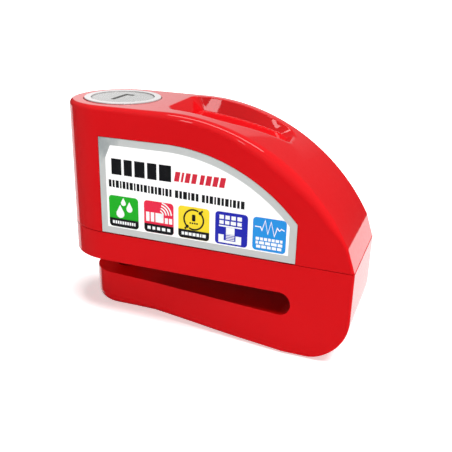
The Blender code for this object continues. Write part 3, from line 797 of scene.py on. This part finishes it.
def trim_bottom(bm, level, chamfer):
    """Cut the shell off at a level, close it and ease its bottom edge."""
    for height, clear in ((level, True), (level + 1.0, False)):
        everything = list(bm.verts) + list(bm.edges) + list(bm.faces)
        bmesh.ops.bisect_plane(bm, geom=everything, dist=1e-5, plane_co=(0, 0, height),
                               plane_no=(0, 0, 1), clear_inner=clear)
    bmesh.ops.holes_fill(bm, edges=[e for e in bm.edges if e.is_boundary], sides=0)
    bmesh.ops.recalc_face_normals(bm, faces=bm.faces)
    bottom = [e for e in bm.edges if all(abs(v.co.z - level) < 1e-4 for v in e.verts)]
    bmesh.ops.bevel(bm, geom=bottom, offset=chamfer, segments=2, profile=0.5, affect="EDGES")
    bmesh.ops.triangulate(bm, faces=[face for face in bm.faces if len(face.verts) > 4])
    return bm


def cam_sweep(radius):
    """The pie slice about the lock axis that the cam needs to turn."""
    return [(0.0, 0.0)] + arc((0.0, 0.0), radius, -108, 16, 24)


def keyed_bore(radius, count=88):
    """A round bore with a rib on its +Y side that keeps the barrel from turning."""
    half_width, tip = 1.2, 10.2
    outline = []
    for i in range(count):
        angle = math.pi / 2 + 2 * math.pi * (i + 0.5) / count
        point = (radius * math.cos(angle), radius * math.sin(angle))
        if point[1] < 0 or abs(point[0]) > half_width:
            outline.append(point)
    root = math.sqrt(radius ** 2 - half_width ** 2)
    return outline + [(half_width, root), (half_width, tip), (-half_width, tip), (-half_width, root)]


def label_outline(margin=0.0):
    """The label's outline in X and Z, drawn in by a margin, with its top along the roof."""
    left, right = label_low.x - AXIS_X + margin, label_high.x - AXIS_X - margin
    bottom, top = label_low.z + margin, label_high.z - margin
    radius = top - ROOF_CENTRE_Z
    last = math.asin((right - FLAT_TOP_END) / radius)
    points = [(left, bottom), (right, bottom)]
    points += [over_arch(radius, angle) for angle in evenly(0.0, last, 28)[::-1]]
    return points + [(left, top)]


def cavity_cutter():
    """Room for the alarm module, less the three screw bosses."""
    wall, inner_radius, start, end = 2.2, ROOF_RADIUS - 2.2, 15.5, 69.2
    points = [(start, UPPER_Z - 1), (start, SCOOP_START[1] - wall)]
    points += [(x, scoop_floor_z(x) - wall) for x in (20.5, 29.0, 37.5, 46.0)]
    first = math.asin((50.0 - FLAT_TOP_END) / inner_radius)
    last = math.asin((end - 0.6 - FLAT_TOP_END) / inner_radius)
    points += [over_arch(inner_radius, angle) for angle in evenly(first, last, 8)]
    points.append((end, UPPER_Z - 1))
    cavity = new_object("cavity", prism(points, "Y", 2.5 - HALF_WIDTH, HALF_WIDTH - 2.5))
    return cut(cavity, [cylinder("Z", place, 2.9, UPPER_Z + 0.3, HEIGHT, 32) for place in SCREWS])


def build_housing_shell():
    surface = shell_surface()
    shell = new_object("housing_shell", trim_bottom(surface.to_bmesh(), UPPER_Z - 0.12, 0.15))
    mouth = [(BORE_RADIUS, 58.0), (BORE_RADIUS, HEIGHT - 0.15), (BORE_RADIUS + 0.05, HEIGHT - 0.05),
             (BORE_RADIUS + 0.3, HEIGHT + 0.15), (BORE_RADIUS + 0.3, HEIGHT + 1)]
    cut(shell, [
        cylinder("Z", (0, 0), COUNTERBORE_RADIUS, UPPER_Z - 1, LEDGE_Z, 96),
        prism(keyed_bore(BORE_RADIUS), "Z", LEDGE_Z - 1, 58.1),
        turned([(0, 58.0)] + mouth + [(0, HEIGHT + 1)], 96),
        cylinder("Z", (0, 0), 12.9, 60.0, 61.8, 72),
        box((8.0, 12.9), (-2.8, 2.8), (LEDGE_Z - 1, 59.3)),
        prism(cam_sweep(COUNTERBORE_RADIUS), "Z", 55.2, 58.8),
        cavity_cutter(),
    ])
    slots = []
    for k in (-2, -1, 0, 1, 2):
        half = 7.0 - 1.2 * abs(k)
        x = 32.4 + 3.0 * k
        outline = rounded_box(x - 0.7, x + 0.7, 39.5 - half, 39.5 + half, 0.65, 5)
        slots.append(prism(outline, "Y", HALF_WIDTH - 3.5, HALF_WIDTH + 1))
    outline = label_outline(-0.1)
    pocket = prism(outline[2:] + [(outline[0][0], UPPER_Z - 1), (outline[1][0], UPPER_Z - 1)],
                   "Y", -HALF_WIDTH - 1, 0.4 - HALF_WIDTH)
    cut(shell, slots + [cylinder("Z", place, 1.55, UPPER_Z - 1, 38.0, 24) for place in SCREWS] + [pocket])
    finish_piece(shell, "housing", "red_paint", replaces=("upper_housing",), known=surface.known)


# Lower body

def read_off(knots, x):
    """The value at x on straight lines through (x, value) knots."""
    for (x0, v0), (x1, v1) in zip(knots, knots[1:]):
        if x <= x1:
            return v0 + (v1 - v0) * max(x - x0, 0) / (x1 - x0)
    return knots[-1][1]


def drawn_in(radius, z):
    """How far a round of the bottom edge draws a wall in at z."""
    return 0.0 if z >= radius else radius - math.sqrt(radius ** 2 - (radius - z) ** 2)


def jaw_inset(x, z):
    return drawn_in(read_off(JAW_FILLETS, x), z)


def body_ring(z, jaw):
    """One level of the lower body: round nose, two sides and the right end."""
    corner = 0.7
    nose_radius = (JAW_NOSE_RADIUS - jaw_inset(0, z)) if jaw else HALF_WIDTH
    side = [(-x, y) for x, y in arc((0.0, 0.0), nose_radius, 0, 90, 20)]
    for x in (6.5, 13.0, 20.0, 27.0, 34.0, 41.0, 48.0, 55.0):
        side.append((x, read_off(JAW_HALF_WIDTHS, x) - jaw_inset(x, z) if jaw else HALF_WIDTH))
    end = LOCK_TO_END - drawn_in(END_CORNER_RADIUS, z)
    width = HALF_WIDTH - (jaw_inset(LOCK_TO_END, z) if jaw else 0)
    side += arc((end - corner, width - corner), corner, 90, 0, 4)
    ring = [(x, -y, z) for x, y in side] + [(x, y, z) for x, y in reversed(side)]
    return ring[1:]


def gasket_groove():
    half, corner = 0.75, 1.6

    def grown(by):
        return rounded_box(14.3 - by, 70.7 + by, -13.8 - by, 13.8 + by, corner + by, 4)

    low, high = 25.6, SEAM_Z + 1
    return loft([[(*p, z) for p in grown(by)]
                 for by, z in ((half, low), (half, high), (-half, high), (-half, low))], closed=True)


def build_body_shell():
    levels = {0.0, 0.04, 0.15, 0.4, 0.8, 1.3, 2.0, 2.8, 3.6, 9.6, 10.6}
    levels |= {round(END_CORNER_RADIUS * (1 - math.cos(math.radians(a))), 3) for a in range(10, 75, 5)}
    jaw_levels = sorted(z for z in levels if z < 11) + [SLOT_FLOOR_Z + 0.9, END_CORNER_RADIUS + 0.2]
    rings = [body_ring(z, True) for z in jaw_levels]
    rings += [body_ring(z, False) for z in (SLOT_ROOF_Z - 0.9, SEAM_Z + 0.08)]
    body = new_object("body_shell", loft(rings))
    slot_half = (SLOT_ROOF_Z - SLOT_FLOOR_Z) / 2
    slot_z = SLOT_FLOOR_Z + slot_half
    outline = [(-HALF_WIDTH - 5, SLOT_FLOOR_Z)]
    outline += arc((SLOT_END_X - slot_half, slot_z), slot_half, -90, 90, 32)
    outline.append((-HALF_WIDTH - 5, SLOT_ROOF_Z))
    cut(body, [prism(outline, "Y", -20, 20)])

    def softness(point):
        return 1.0 if SLOT_FLOOR_Z - 0.2 < point.z < SLOT_ROOF_Z + 0.2 else 0.2

    bevel(body, 0.55, 4, softness)
    cutters = [
        cylinder("Z", (0, 0), PIN_RADIUS + 0.25, SLOT_ROOF_Z - 1, SEAM_Z + 1),
        cylinder("Z", (0, 0), 5.2, 19.6, SEAM_Z + 2),
        cylinder("Z", (0, 0), 10.3, 25.6, SEAM_Z + 3, 64),
        cylinder("Z", (0, 0), PIN_RADIUS + 0.3, 5.1, SLOT_FLOOR_Z + 1),
        cylinder("Z", (0, 0), 1.0, -1, 5.9, 24),
        gasket_groove(),
    ]
    for place in SCREWS:
        cutters.append(cylinder("Z", place, 1.7, SLOT_ROOF_Z - 1.5, SEAM_Z + 1, 32))
        cutters.append(cylinder("Z", place, 2.9, SLOT_ROOF_Z - 1, 21.3, 32))
    cut(body, cutters)
    finish_piece(body, "housing", "red_paint", replaces=("lower_body",))
    # the slot's inner faces get the red with painted shade, darker deeper in
    body.data.materials.append(MATERIALS["slot_red_with_painted_shade"])
    for face in body.data.polygons:
        place = face.center / MM
        if SLOT_FLOOR_Z - 0.02 < place.z < SLOT_ROOF_Z + 0.02 and abs(face.normal.y) < 0.3:
            if -JAW_NOSE_RADIUS + 0.3 < place.x - AXIS_X < SLOT_END_X + 0.1:
                face.material_index = 1


# Lock

DOWEL_HOLE = ((0.0, 39.4), 1.05)


def build_lock_barrel():
    low, high = barrel_low.z, barrel_high.z
    radius, inner = BARREL_RADIUS, PLUG_RADIUS + 0.12
    outside = rounded([(radius - 2, high), (radius, high), (radius, low), (PIN_RADIUS + 0.05, low)], 0.3, 5)
    profile = outside[1:] + [(PIN_RADIUS + 0.05, 42.0), (inner, 42.0), (inner, high - 0.3)]
    profile += rounded([(inner, high - 0.3), (inner, high), (radius - 1, high)], 0.28, 4)[1:-1]
    barrel = new_object("lock_barrel", turned(profile, 96))
    cut(barrel, [
        prism(cam_sweep(14), "Z", 42.1, 45.9),
        box((-1.5, 1.5), (9.9, 12.0), (low - 1, 59.0)),
        cylinder("Y", *DOWEL_HOLE, -12, 12, 24),
        cylinder("Y", (-8.75, 48.2), 0.85, -12, 12, 24),
        cylinder("X", (0.0, 39.6), 1.6, 7.6, 12, 24),
    ])
    finish_piece(barrel, "barrel", "polished_steel", replaces=("barrel",))


def build_lock_plug():
    top, bottom = plug_high.z, 46.3
    radius, tail = PLUG_RADIUS, 2.4
    profile = [(0, top)] + rounded([(radius - 2, top), (radius, top), (radius, 49.2)], 0.35, 4)
    profile += [(radius - 1.1, 49.2), (radius - 1.1, 47.2), (radius, 47.2), (radius, bottom), (0, bottom)]
    plug = new_object("lock_plug", turned(profile, 96))
    cut(plug, [box((-tail, tail), (-tail, tail), (plug_low.z, bottom + 1))], "UNION")
    left, right = KEYWAY_X - 0.7, KEYWAY_X + 0.7
    slot = rounded_box(left, right, -KEYWAY_HALF_LENGTH, KEYWAY_HALF_LENGTH, 0.25, 3)
    cutters = [
        prism(slot, "Z", top - 15.5, top + 1),
        box((right - 0.5, right + 1.9), (2.9, KEYWAY_HALF_LENGTH - 0.01), (top - 15.0, top + 2)),
    ]
    for i in range(5):
        low = 50.4 + 2.3 * i
        cutters.append(box((-3.1, 3.1), (-12, 12), (low - 0.2, low + 1.0)))
    cut(plug, cutters)
    finish_piece(plug, "plug", "brushed_steel", replaces=("plug",))


def build_lock_pin():
    low, high = pin_low.z, pin_high.z
    taper = 0.8
    shape = rounded([(0.6, low), (PIN_RADIUS - taper, low), (PIN_RADIUS, low + taper), (PIN_RADIUS, high),
                     (0.6, high)], 0.3, 4)
    pin = new_object("lock_pin", turned([(0, low)] + shape[1:-1] + [(0, high)], 64))
    cut(pin, [cylinder("Y", *DOWEL_HOLE, -5, 5, 24)])
    finish_piece(pin, "barrel", "hardened_pin", replaces=("locking_pin",))


# Label

LABEL_FACE_Y = -HALF_WIDTH
LAYER = 0.018


def ring_sector(centre, inner, outer, start, end):
    """An arc-shaped band between two angles in degrees."""
    return arc(centre, outer, start, end, 18) + arc(centre, inner, start, end, 18)[::-1]


def drop(centre, radius, height):
    """A water drop: a round foot and a pointed head."""
    return [(centre[0], centre[1] + height)] + arc(centre, radius, 150, 390, 16)


def stroke(points, width):
    """A line of even width through points, as a closed outline."""
    left, right = [], []
    for i, point in enumerate(points):
        here = Vector(point)
        before = (here - Vector(points[i - 1])).normalized() if i else None
        after = (Vector(points[i + 1]) - here).normalized() if i < len(points) - 1 else None
        a, b = before or after, after or before
        mitre = Vector((-a.y, a.x)) + Vector((-b.y, b.x))
        mitre = mitre.normalized() / max(math.cos(a.angle(b) / 2), 0.45) * width / 2
        left.append(tuple(here + mitre))
        right.append(tuple(here - mitre))
    return left + right[::-1]


def slanted(x0, x1, z0, z1, lean=0.0):
    return [(x0, z0), (x1, z0), (x1 + lean, z1), (x0 + lean, z1)]


def bars(x0, x1, z0, z1, widths, gap, lean=0.0):
    """Blank bars in place of words, of relative widths, from x0 to x1."""
    scale = (x1 - x0 - gap * (len(widths) - 1)) / sum(widths)
    shapes, x = [], x0
    for width in widths:
        shapes.append(slanted(x, x + width * scale, z0, z1, lean))
        x += width * scale + gap
    return shapes


def printed(name, shapes, layer, material):
    """Printed shapes as one piece of thin closed prisms, at a layer above the plate."""
    bm = bmesh.new()
    front = LABEL_FACE_Y - LAYER * (layer + 1)
    for shape in shapes:
        prism(shape, "Y", front, front + LAYER, bm)
    finish_piece(new_object(name, bm), "housing", material)


TILE_Z = (29.4, 38.6)
BAND_TOP = 31.9
TILES = (
    ("green_ink", (2.92, 12.07)), ("crimson_ink", (13.83, 22.77)), ("yellow_ink", (24.15, 33.24)),
    ("navy_ink", (34.89, 44.03)), ("blue_ink", (45.41, 54.46)),
)
WORD_WIDTHS = ((1.2, 1, 0.9, 1, 1, 1.1, 1, 0.9, 1, 0.8), (1, 0.9, 1, 1.1, 1.0), (0.8, 1, 1, 1, 0.9, 0.5, 1.1))


def panel_outline():
    """The white print: the label's outline drawn in, with its upper left corner cut off."""
    outline = label_outline(2.0)
    (left, bottom), (_, top) = outline[0], outline[-1]
    return outline[:-1] + [(left + 1.6, top), (left, top - 3.6)]


def fine_print():
    """Three blank words of short bars, the row sinking a little to the right."""
    row = []
    for x0, x1, count in ((3.1, 22.2, 18), (23.2, 30.0, 6), (31.0, 42.9, 11)):
        widths = [(1.0, 0.8, 1.15, 0.6)[k % 4] for k in range(count)]
        row += bars(x0, x1, 41.0, 43.1, widths, 0.34)
    return [[(x, z - 0.024 * (x - 3.1)) for x, z in shape] for shape in row]


def drops_icon():
    return [drop((7.45, 36.6), 0.75, 1.6), drop((9.3, 35.1), 0.95, 2.1), drop((6.4, 33.4), 1.25, 2.6)]


def loud_icon(left):
    """Blank figures with sound waves above them."""
    shapes = bars(left + 0.6, left + 5.9, 32.6, 35.3, (0.6, 0.6, 1.4), 0.4)
    shapes += bars(left + 6.3, left + 8.5, 32.6, 34.2, (1, 1), 0.3)
    source = (left + 4.7, 34.9)
    return shapes + [ring_sector(source, r, r + 0.35, 4, 78) for r in (1.0, 1.8, 2.6, 3.4)]


def clamp_icon(left, right):
    """A plunger over a cup, below two blank words."""
    centre = (left + right) / 2 - 0.25
    cup = [(left + 1.0, 32.2), (left + 1.0, 29.9), (right - 1.7, 29.9), (right - 1.7, 32.2),
           (right - 3.3, 32.2), (right - 3.3, 30.6), (left + 2.5, 30.6), (left + 2.5, 32.2)]
    shapes = [cup, slanted(centre - 1.2, centre + 1.2, 32.5, 34.4)]
    shapes.append(slanted(left + 1.1, right - 1.6, 34.45, 34.85))
    shapes += [slanted(centre - 1.2, centre + 1.2, z, z + 0.22) for z in (30.85, 31.3, 31.75, 32.2)]
    shapes += bars(left + 1.2, right - 1.7, 36.6, 37.7, (1, 1, 1, 1), 0.45)
    return shapes + bars(left + 1.2, right - 1.7, 35.2, 36.2, (1, 1, 1.2, 1), 0.4)


def wave_icon(left, right):
    """A pulse line above three blank rows."""
    wave = ((0.6, 36.0), (2.1, 36.0), (2.5, 35.1), (3.3, 37.9), (4.1, 34.3), (4.9, 37.7), (5.9, 33.9),
            (6.6, 36.3), (7.2, 35.6), (7.7, 36.2))
    shapes = [stroke([(left + x, z) for x, z in wave] + [(right - 0.5, 35.8)], 0.26)]
    shapes += bars(left + 0.9, right - 0.9, 32.3, 33.1, (1.2, 1, 1.1, 0.9, 1, 1.2, 0.8), 0.28)
    shapes += bars(left + 0.9, right - 0.9, 31.2, 32.0, (0.5, 1, 1, 1.1, 0.9), 0.28)
    return shapes + bars(left + 1.1, right - 1.1, 30.1, 30.9, (1, 1.1, 0.9, 1, 1), 0.28)


def turn_icon(centre):
    """Two arcs that chase each other round a blank mark."""
    shapes = [ring_sector(centre, 2.6, 3.05, start, start + 158) for start in (62, 242)]
    for angle in (48, 228):
        shapes.append(circle(polar(centre, 2.83, angle), 0.5, 16))
        shapes.append(circle(polar(centre, 3.6, angle), 0.3, 12))
    x, z = centre
    shapes.append(rounded_box(x - 0.5, x + 0.5, z - 0.4, z + 1.5, 0.3))
    return shapes + bars(x - 1.2, x + 1.2, z - 1.25, z - 0.8, (1, 1, 1, 1), 0.2)


def band_outline(x0, x1):
    """The black foot of a tile, a hair inside its edge."""
    inset = 0.03
    return rounded_outline([(x0 + inset, TILE_Z[0] + inset, 0.97), (x1 - inset, TILE_Z[0] + inset, 0.97),
                            (x1 - inset, BAND_TOP, 0.05), (x0 + inset, BAND_TOP, 0.05)], steps=6)


def build_label():
    plate = new_object("label_plate", prism(label_outline(), "Y", LABEL_FACE_Y, LABEL_FACE_Y + 0.3))
    bevel(plate, 0.1, 2)
    finish_piece(plate, "housing", "foil", replaces=("front_label",))
    printed("label_panel", [panel_outline()], 0, "white_ink")

    heading = bars(4.1, 22.1, 44.7, 49.2, (1.0, 0.8, 1.0, 0.9, 1.15), 0.75)
    printed("label_heading", heading + fine_print(), 1, "black_ink")
    accent = bars(22.9, 29.2, 45.1, 47.8, (1.0, 0.45, 0.95, 0.95), 0.5, 0.5)
    accent += bars(30.2, 37.2, 45.1, 47.8, (0.8, 1.0, 0.95, 1.0), 0.5, 0.5)
    printed("label_accent", accent, 1, "red_ink")

    for index, (colour, (x0, x1)) in enumerate(TILES):
        printed(f"label_tile_{index + 1}", [rounded_box(x0, x1, *TILE_Z, 1.0)], 1, colour)
    _, (alarm_left, _), (turn_left, turn_right), clamp, wave = (span for _, span in TILES)
    white = drops_icon() + loud_icon(alarm_left) + clamp_icon(*clamp) + wave_icon(*wave)
    printed("label_icons", white, 2, "icon_white")
    bands = [band_outline(*span) for _, span in TILES[:3]]
    printed("label_bands", bands + turn_icon(((turn_left + turn_right) / 2, 35.0)), 2, "black_ink")
    words = []
    for (_, (x0, x1)), widths, gap in zip(TILES, WORD_WIDTHS, (0.22, 0.55, 0.25)):
        words += bars(x0 + 1.0, x1 - 1.0, 30.3, 31.2, widths, gap)
    printed("label_words", words, 3, "icon_white")


# Parts that keep their CAD shape

def paint_cad_nodes():
    for part in frame["record"]["subparts"]:
        node = frame["nodes"][part["node"]]
        for slot in node.material_slots:
            slot.material = MATERIALS.get(part["material_slot"], MATERIALS["foil"])


# Stage

SQUARE = ((-0.5, -0.5), (0.5, -0.5), (0.5, 0.5), (-0.5, 0.5))
CUT_CORNER = ((-0.5, -0.5), (0.5, -0.5), (0.5, 0.13), (0.17, 0.5), (-0.5, 0.5))
SLANTED_SIDE = ((-0.5, -0.5), (0.5, -0.5), (0.5, 0.5), (-0.3, 0.5))
FLOOR_DROP = 0.0002
# Each card's centre, size in metres, facing, strength, outline and share of its glow at the +X edge
CARDS = {
    "card_back": ((-0.31, 1.0, 0.30), (1.10, 0.42), (0, -1, 0), 1.0, CUT_CORNER, 0.10),
    "card_end": ((0.34, 1.0, -0.70), (0.72, 1.14), (0, -1, 0), 1.15, SQUARE, 1.0),
    "card_left": ((-1.0, 0.85, -0.4), (1.40, 0.66), (1, 0, 0), 1.0, SLANTED_SIDE, 1.0),
    "card_top": ((-0.02, -0.1, 1.0), (0.8, 0.16), (0, 0, -1), 3.0, SQUARE, 1.0),
    "card_scoop_left": ((-0.385, -1.0, 0.66), (0.08, 0.25), (0, 1, 0), 2.6, SQUARE, 1.0),
    "card_scoop_right": ((0.09, -1.07, 1.0), (0.07, 0.25), (0, 0, -1), 2.6, SQUARE, 1.0),
}
KEY_DIRECTION = (0.3, -0.05, 1)
KEY_SPREAD = math.radians(36)
KEY_STRENGTH = 4.85
CAMERA_PLACE = (0.06424, -0.16628, 0.09744)
CAMERA_LENS = 52.09
CAMERA_AZIMUTH = math.radians(20.03)
CAMERA_PITCH = math.radians(21.29)
CAMERA_ROLL = math.radians(1.47)


def face_along(direction):
    """The rotation that turns a flat shape or a light to face along a direction."""
    return Vector(direction).to_track_quat("Z", "Y").to_euler()


def hide_from(obj, *rays):
    for ray in rays:
        setattr(obj, f"visible_{ray}", False)


def glow(name, strength, share):
    """An emission that falls to a share of its strength at the card's +X edge."""
    n = new_material(name, bare=True)
    across = n.add("SeparateXYZ", {"Vector": n.coordinates}).outputs["X"]
    level = n.ramp(across, strength * share, strength, 0.5, -0.5)
    emission = n.add("Emission", {"Strength": level}).outputs[0]
    n.add("OutputMaterial", {"Surface": emission})
    return n.owner


def stage_plane(name, centre, size, facing, material, outline=SQUARE):
    """A flat shape of the stage, of a width and a height in metres."""
    bm = bmesh.new()
    bm.faces.new([bm.verts.new((*point, 0)) for point in outline])
    plane = new_object(name, bm)
    plane.data.materials.append(material)
    plane.location = centre
    plane.scale = (*size, 1)
    plane.rotation_euler = face_along(facing)
    return plane


def build_world():
    """White to the camera, dim on surfaces, and in reflections brighter towards the top."""
    world = bpy.data.worlds.new("studio")
    bpy.context.scene.world = world
    n = Nodes(world, bare=True)
    world.cycles.sampling_method = "NONE"
    height = n.add("SeparateXYZ", {"Vector": n.place["Generated"]}).outputs["Z"]
    sky = n.ramp(height, 0.008, 0.15, -0.2, 0.6)
    white = (1, 1, 1, 1)
    in_gloss = n.add("Background", {"Strength": sky}, Color=white).outputs[0]
    on_surfaces = n.add("Background", Color=white, Strength=0.12).outputs[0]
    to_camera = n.add("Background", Color=white, Strength=1.0).outputs[0]
    ray = n.add("LightPath").outputs
    unseen = n.add("MixShader", {0: ray["Is Glossy Ray"], 1: on_surfaces, 2: in_gloss}).outputs[0]
    seen = n.add("MixShader", {0: ray["Is Camera Ray"], 1: unseen, 2: to_camera}).outputs[0]
    n.add("OutputWorld", {"Surface": seen})


def build_stage():
    """The floor, cards that show only in reflections, and one soft key light that does not."""
    n = new_material("pale_floor")
    n.colour(n.noise(6.0), (0.90, 0.90, 0.90), (0.93, 0.93, 0.93))
    n.set(Roughness=0.9, Specular_IOR_Level=0.0, Emission_Color=(1, 1, 1, 1), Emission_Strength=0.54)
    floor = stage_plane("floor", (0, 0, -FLOOR_DROP), (9, 9), (0, 0, 1), n.owner)
    hide_from(floor, "glossy", "shadow")
    for name, (centre, size, facing, strength, outline, share) in CARDS.items():
        card = stage_plane(name, centre, size, facing, glow(name, strength, share), outline)
        hide_from(card, "camera", "diffuse", "shadow", "transmission")
    sun = bpy.data.lights.new("key", "SUN")
    sun.energy = KEY_STRENGTH
    sun.angle = KEY_SPREAD
    light = add_object("key", sun)
    light.rotation_euler = face_along(KEY_DIRECTION)
    hide_from(light, "glossy")
    build_world()


def build_camera():
    """The photograph's viewing angle: from the front and right, above the lock."""
    data = bpy.data.cameras.new("camera")
    data.lens = CAMERA_LENS
    data.clip_start = 0.005
    data.clip_end = 50.0
    camera = add_object("camera", data)
    tilt = Matrix.Rotation(math.pi / 2 - CAMERA_PITCH, 4, "X") @ Matrix.Rotation(CAMERA_ROLL, 4, "Z")
    camera.matrix_world = Matrix.Translation(CAMERA_PLACE) @ Matrix.Rotation(CAMERA_AZIMUTH, 4, "Z") @ tilt
    bpy.context.scene.camera = camera


build_housing_shell()
build_body_shell()
build_lock_barrel()
build_lock_plug()
build_lock_pin()
build_label()
paint_cad_nodes()
build_stage()
build_camera()
bpy.context.scene.view_settings.view_transform = "Standard"
